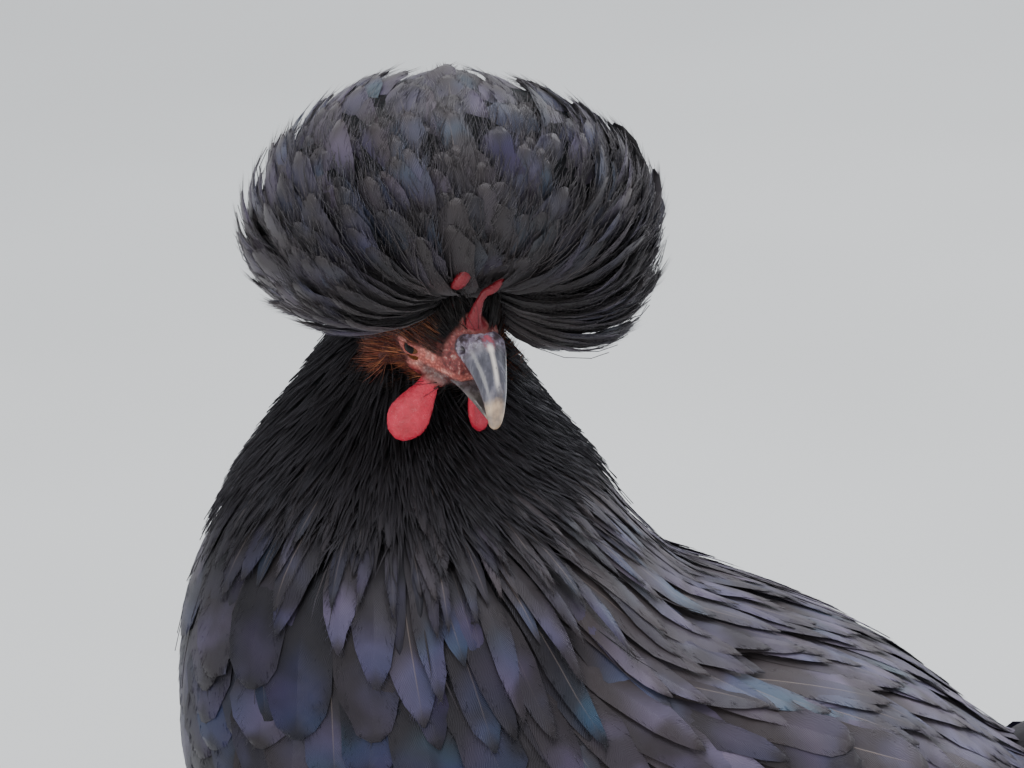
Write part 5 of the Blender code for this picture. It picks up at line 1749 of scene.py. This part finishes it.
def make_leg(side, look, claw):
    """A scaled shank, a foot of four toes and their claws."""
    word = "left" if side > 0 else "right"
    hock = HOCK * (side, 1, 1)
    foot = np.array((FOOT_X * side, FOOT_Y, 0.0))
    ankle = foot + (0, 0.25, BALL_HEIGHT)
    rows = [(0, *(hock + (0, 0, 0.6))), (1, *(hock * 0.5 + ankle * 0.5 + (0, 0.15, 0))), (2, *ankle)]
    path = curve(rows, np.linspace(0, 2, len(SHANK_RADII)))
    shank = rod_surface(path, SHANK_RADII, 0.85, ACROSS, plates(15))
    shank = wrapped("shank_skin_" + word, shank, 40, 210)
    ball = ball_surface(foot + (0, 0.1, 0.55), (0.82, 0.8, 0.72), UPRIGHT)
    toes = [wrapped("ball", ball, 32, 24)]
    for name, length, turn in TOES:
        angle = math.radians(turn)
        way = np.array((math.sin(angle) * side, -math.cos(angle), 0.0))
        points = [foot + (0, 0, BALL_HEIGHT * 0.6) + way * 0.1]
        points += [foot + way * length * part + (0, 0, height) for part, height in TOE_LIFTS]
        rows = [(i, *p) for i, p in enumerate(points)]
        line = curve(rows, np.linspace(0, len(points) - 1, 9))
        share = np.arange(9) / 8
        girth = TOE_RADIUS * (1.1 - 0.42 * share) * (1 + 0.1 * np.cos(share * 5 * np.pi))
        toe = rod_surface(line, girth, 1.0, UP, plates(int(length * 2.6)))
        toes.append(wrapped("toe", toe, 24, int(length * 26)))
        tip = foot + way * length + (0, 0, 0.34)
        short = 0.8 if turn > 90 else 1.0
        hook = [tip - way * 0.25]
        for run, height in ((0.35, 0.05), (0.8, -0.03), (CLAW_LENGTH - 0.27, -0.24)):
            hook.append(tip + way * run * short + (0, 0, height))
        nail = wrapped(f"nail_{word}_{name}", rod_surface(hook, (0.2, 0.24, 0.17, 0.03), 1.15, UP), 16, 24)
        reach = (to_cm(read_points(nail)) - hook[0]) @ way / CLAW_LENGTH
        put_attribute(nail, "region", stacked(reach, 0, 0))
        finished(nail, claw, "claw", f"claw_{word}_{name}")
    feet = joined("foot_skin_" + word, *toes)
    for obj, node_name in ((shank, "shank_" + word), (feet, "foot_" + word)):
        points = to_cm(read_points(obj))
        points[:, 2] = np.maximum(points[:, 2], 0.0)
        write_points(obj, to_metres(points))
        sole = step(0.22, 0.05, points[:, 2])
        put_attribute(obj, "region", stacked(0, sole, 0))
        finished(obj, look, "leg_scale", node_name)


# build


def build():
    """Skin first, then the coats over it, then bill, eyes and legs."""
    face = make_skin()
    vane = feather_group()
    body_look = feather_look("plumage", vane, spacing=0.085, slant=1.5, amount=1.0,
                             specular=0.26, sheen=0.08, tint=(0.88, 0.86, 1.0))
    crest_look = feather_look("crest_plumage", vane, spacing=0.13, slant=2.1, amount=0.8,
                              specular=0.45, sheen=0.18, tint=(0.97, 0.92, 0.95))
    for coat in body_feathers():
        finished(coat, body_look, "plumage")
    for coat in [*crest_feathers(), crest_hairs()]:
        finished(coat, crest_look, "crest_plumage", "crest")
    for side, word in ((1, "left"), (-1, "right")):
        finished(wing_feathers(side), body_look, "plumage", "wing_" + word)
    finished(tail_feathers(), body_look, "plumage", "tail")
    finished(face_bristles(face), bristle_look(), "plumage")
    make_bill(horn_look())
    iris, scale, claw = eye_look(), scale_look(), claw_look()
    for side in (1, -1):
        make_eye(side, iris)
        make_leg(side, scale, claw)


def make_floor():
    """A wide pale floor under the feet."""
    bpy.ops.object.select_all(action="DESELECT")
    bpy.ops.mesh.primitive_plane_add(size=FLOOR_SIZE)
    floor = bpy.context.active_object
    floor.name = floor.data.name = "floor"
    look, tree, shader = new_material("pale_floor")
    shade = ramp(tree, noise(tree, 3, 2.0), (0.3, (0.68, 0.68, 0.67)), (0.7, (0.74, 0.74, 0.73)))
    fill(shader, {"Base Color": shade, "Roughness": 0.9})
    floor.data.materials.append(look)


def make_light():
    """A pale sky and three soft round lights, aimed at the hen."""
    world = bpy.data.worlds.new("studio")
    bpy.context.scene.world = world
    world.use_nodes = True
    fill(world.node_tree.nodes["Background"], {"Color": SKY, "Strength": SKY_STRENGTH})
    for name, place, size, power, colour in LIGHTS:
        light = bpy.data.lights.new(name, "AREA")
        light.shape, light.size, light.energy, light.color = "DISK", size, power, colour
        obj = bpy.data.objects.new(name, light)
        obj.location = place
        obj.rotation_euler = (Vector(LIGHT_AIM) - Vector(place)).to_track_quat("-Z", "Y").to_euler()
        bpy.context.scene.collection.objects.link(obj)


def make_camera():
    """The view from the hen's left and a little above, close in on head, breast and back."""
    data = bpy.data.cameras.new("camera")
    data.sensor_width, data.lens = CAMERA_SENSOR, CAMERA_LENS
    data.clip_end = 20
    camera = bpy.data.objects.new("camera", data)
    place = CAMERA_TARGET + CAMERA_BACK * CAMERA_DISTANCE
    rows = [[CAMERA_RIGHT[i], CAMERA_UP[i], CAMERA_BACK[i], place[i]] for i in range(3)]
    camera.matrix_world = Matrix(rows + [[0, 0, 0, 1]])
    bpy.context.scene.collection.objects.link(camera)
    bpy.context.scene.camera = camera


build()
make_floor()
make_light()
make_camera()
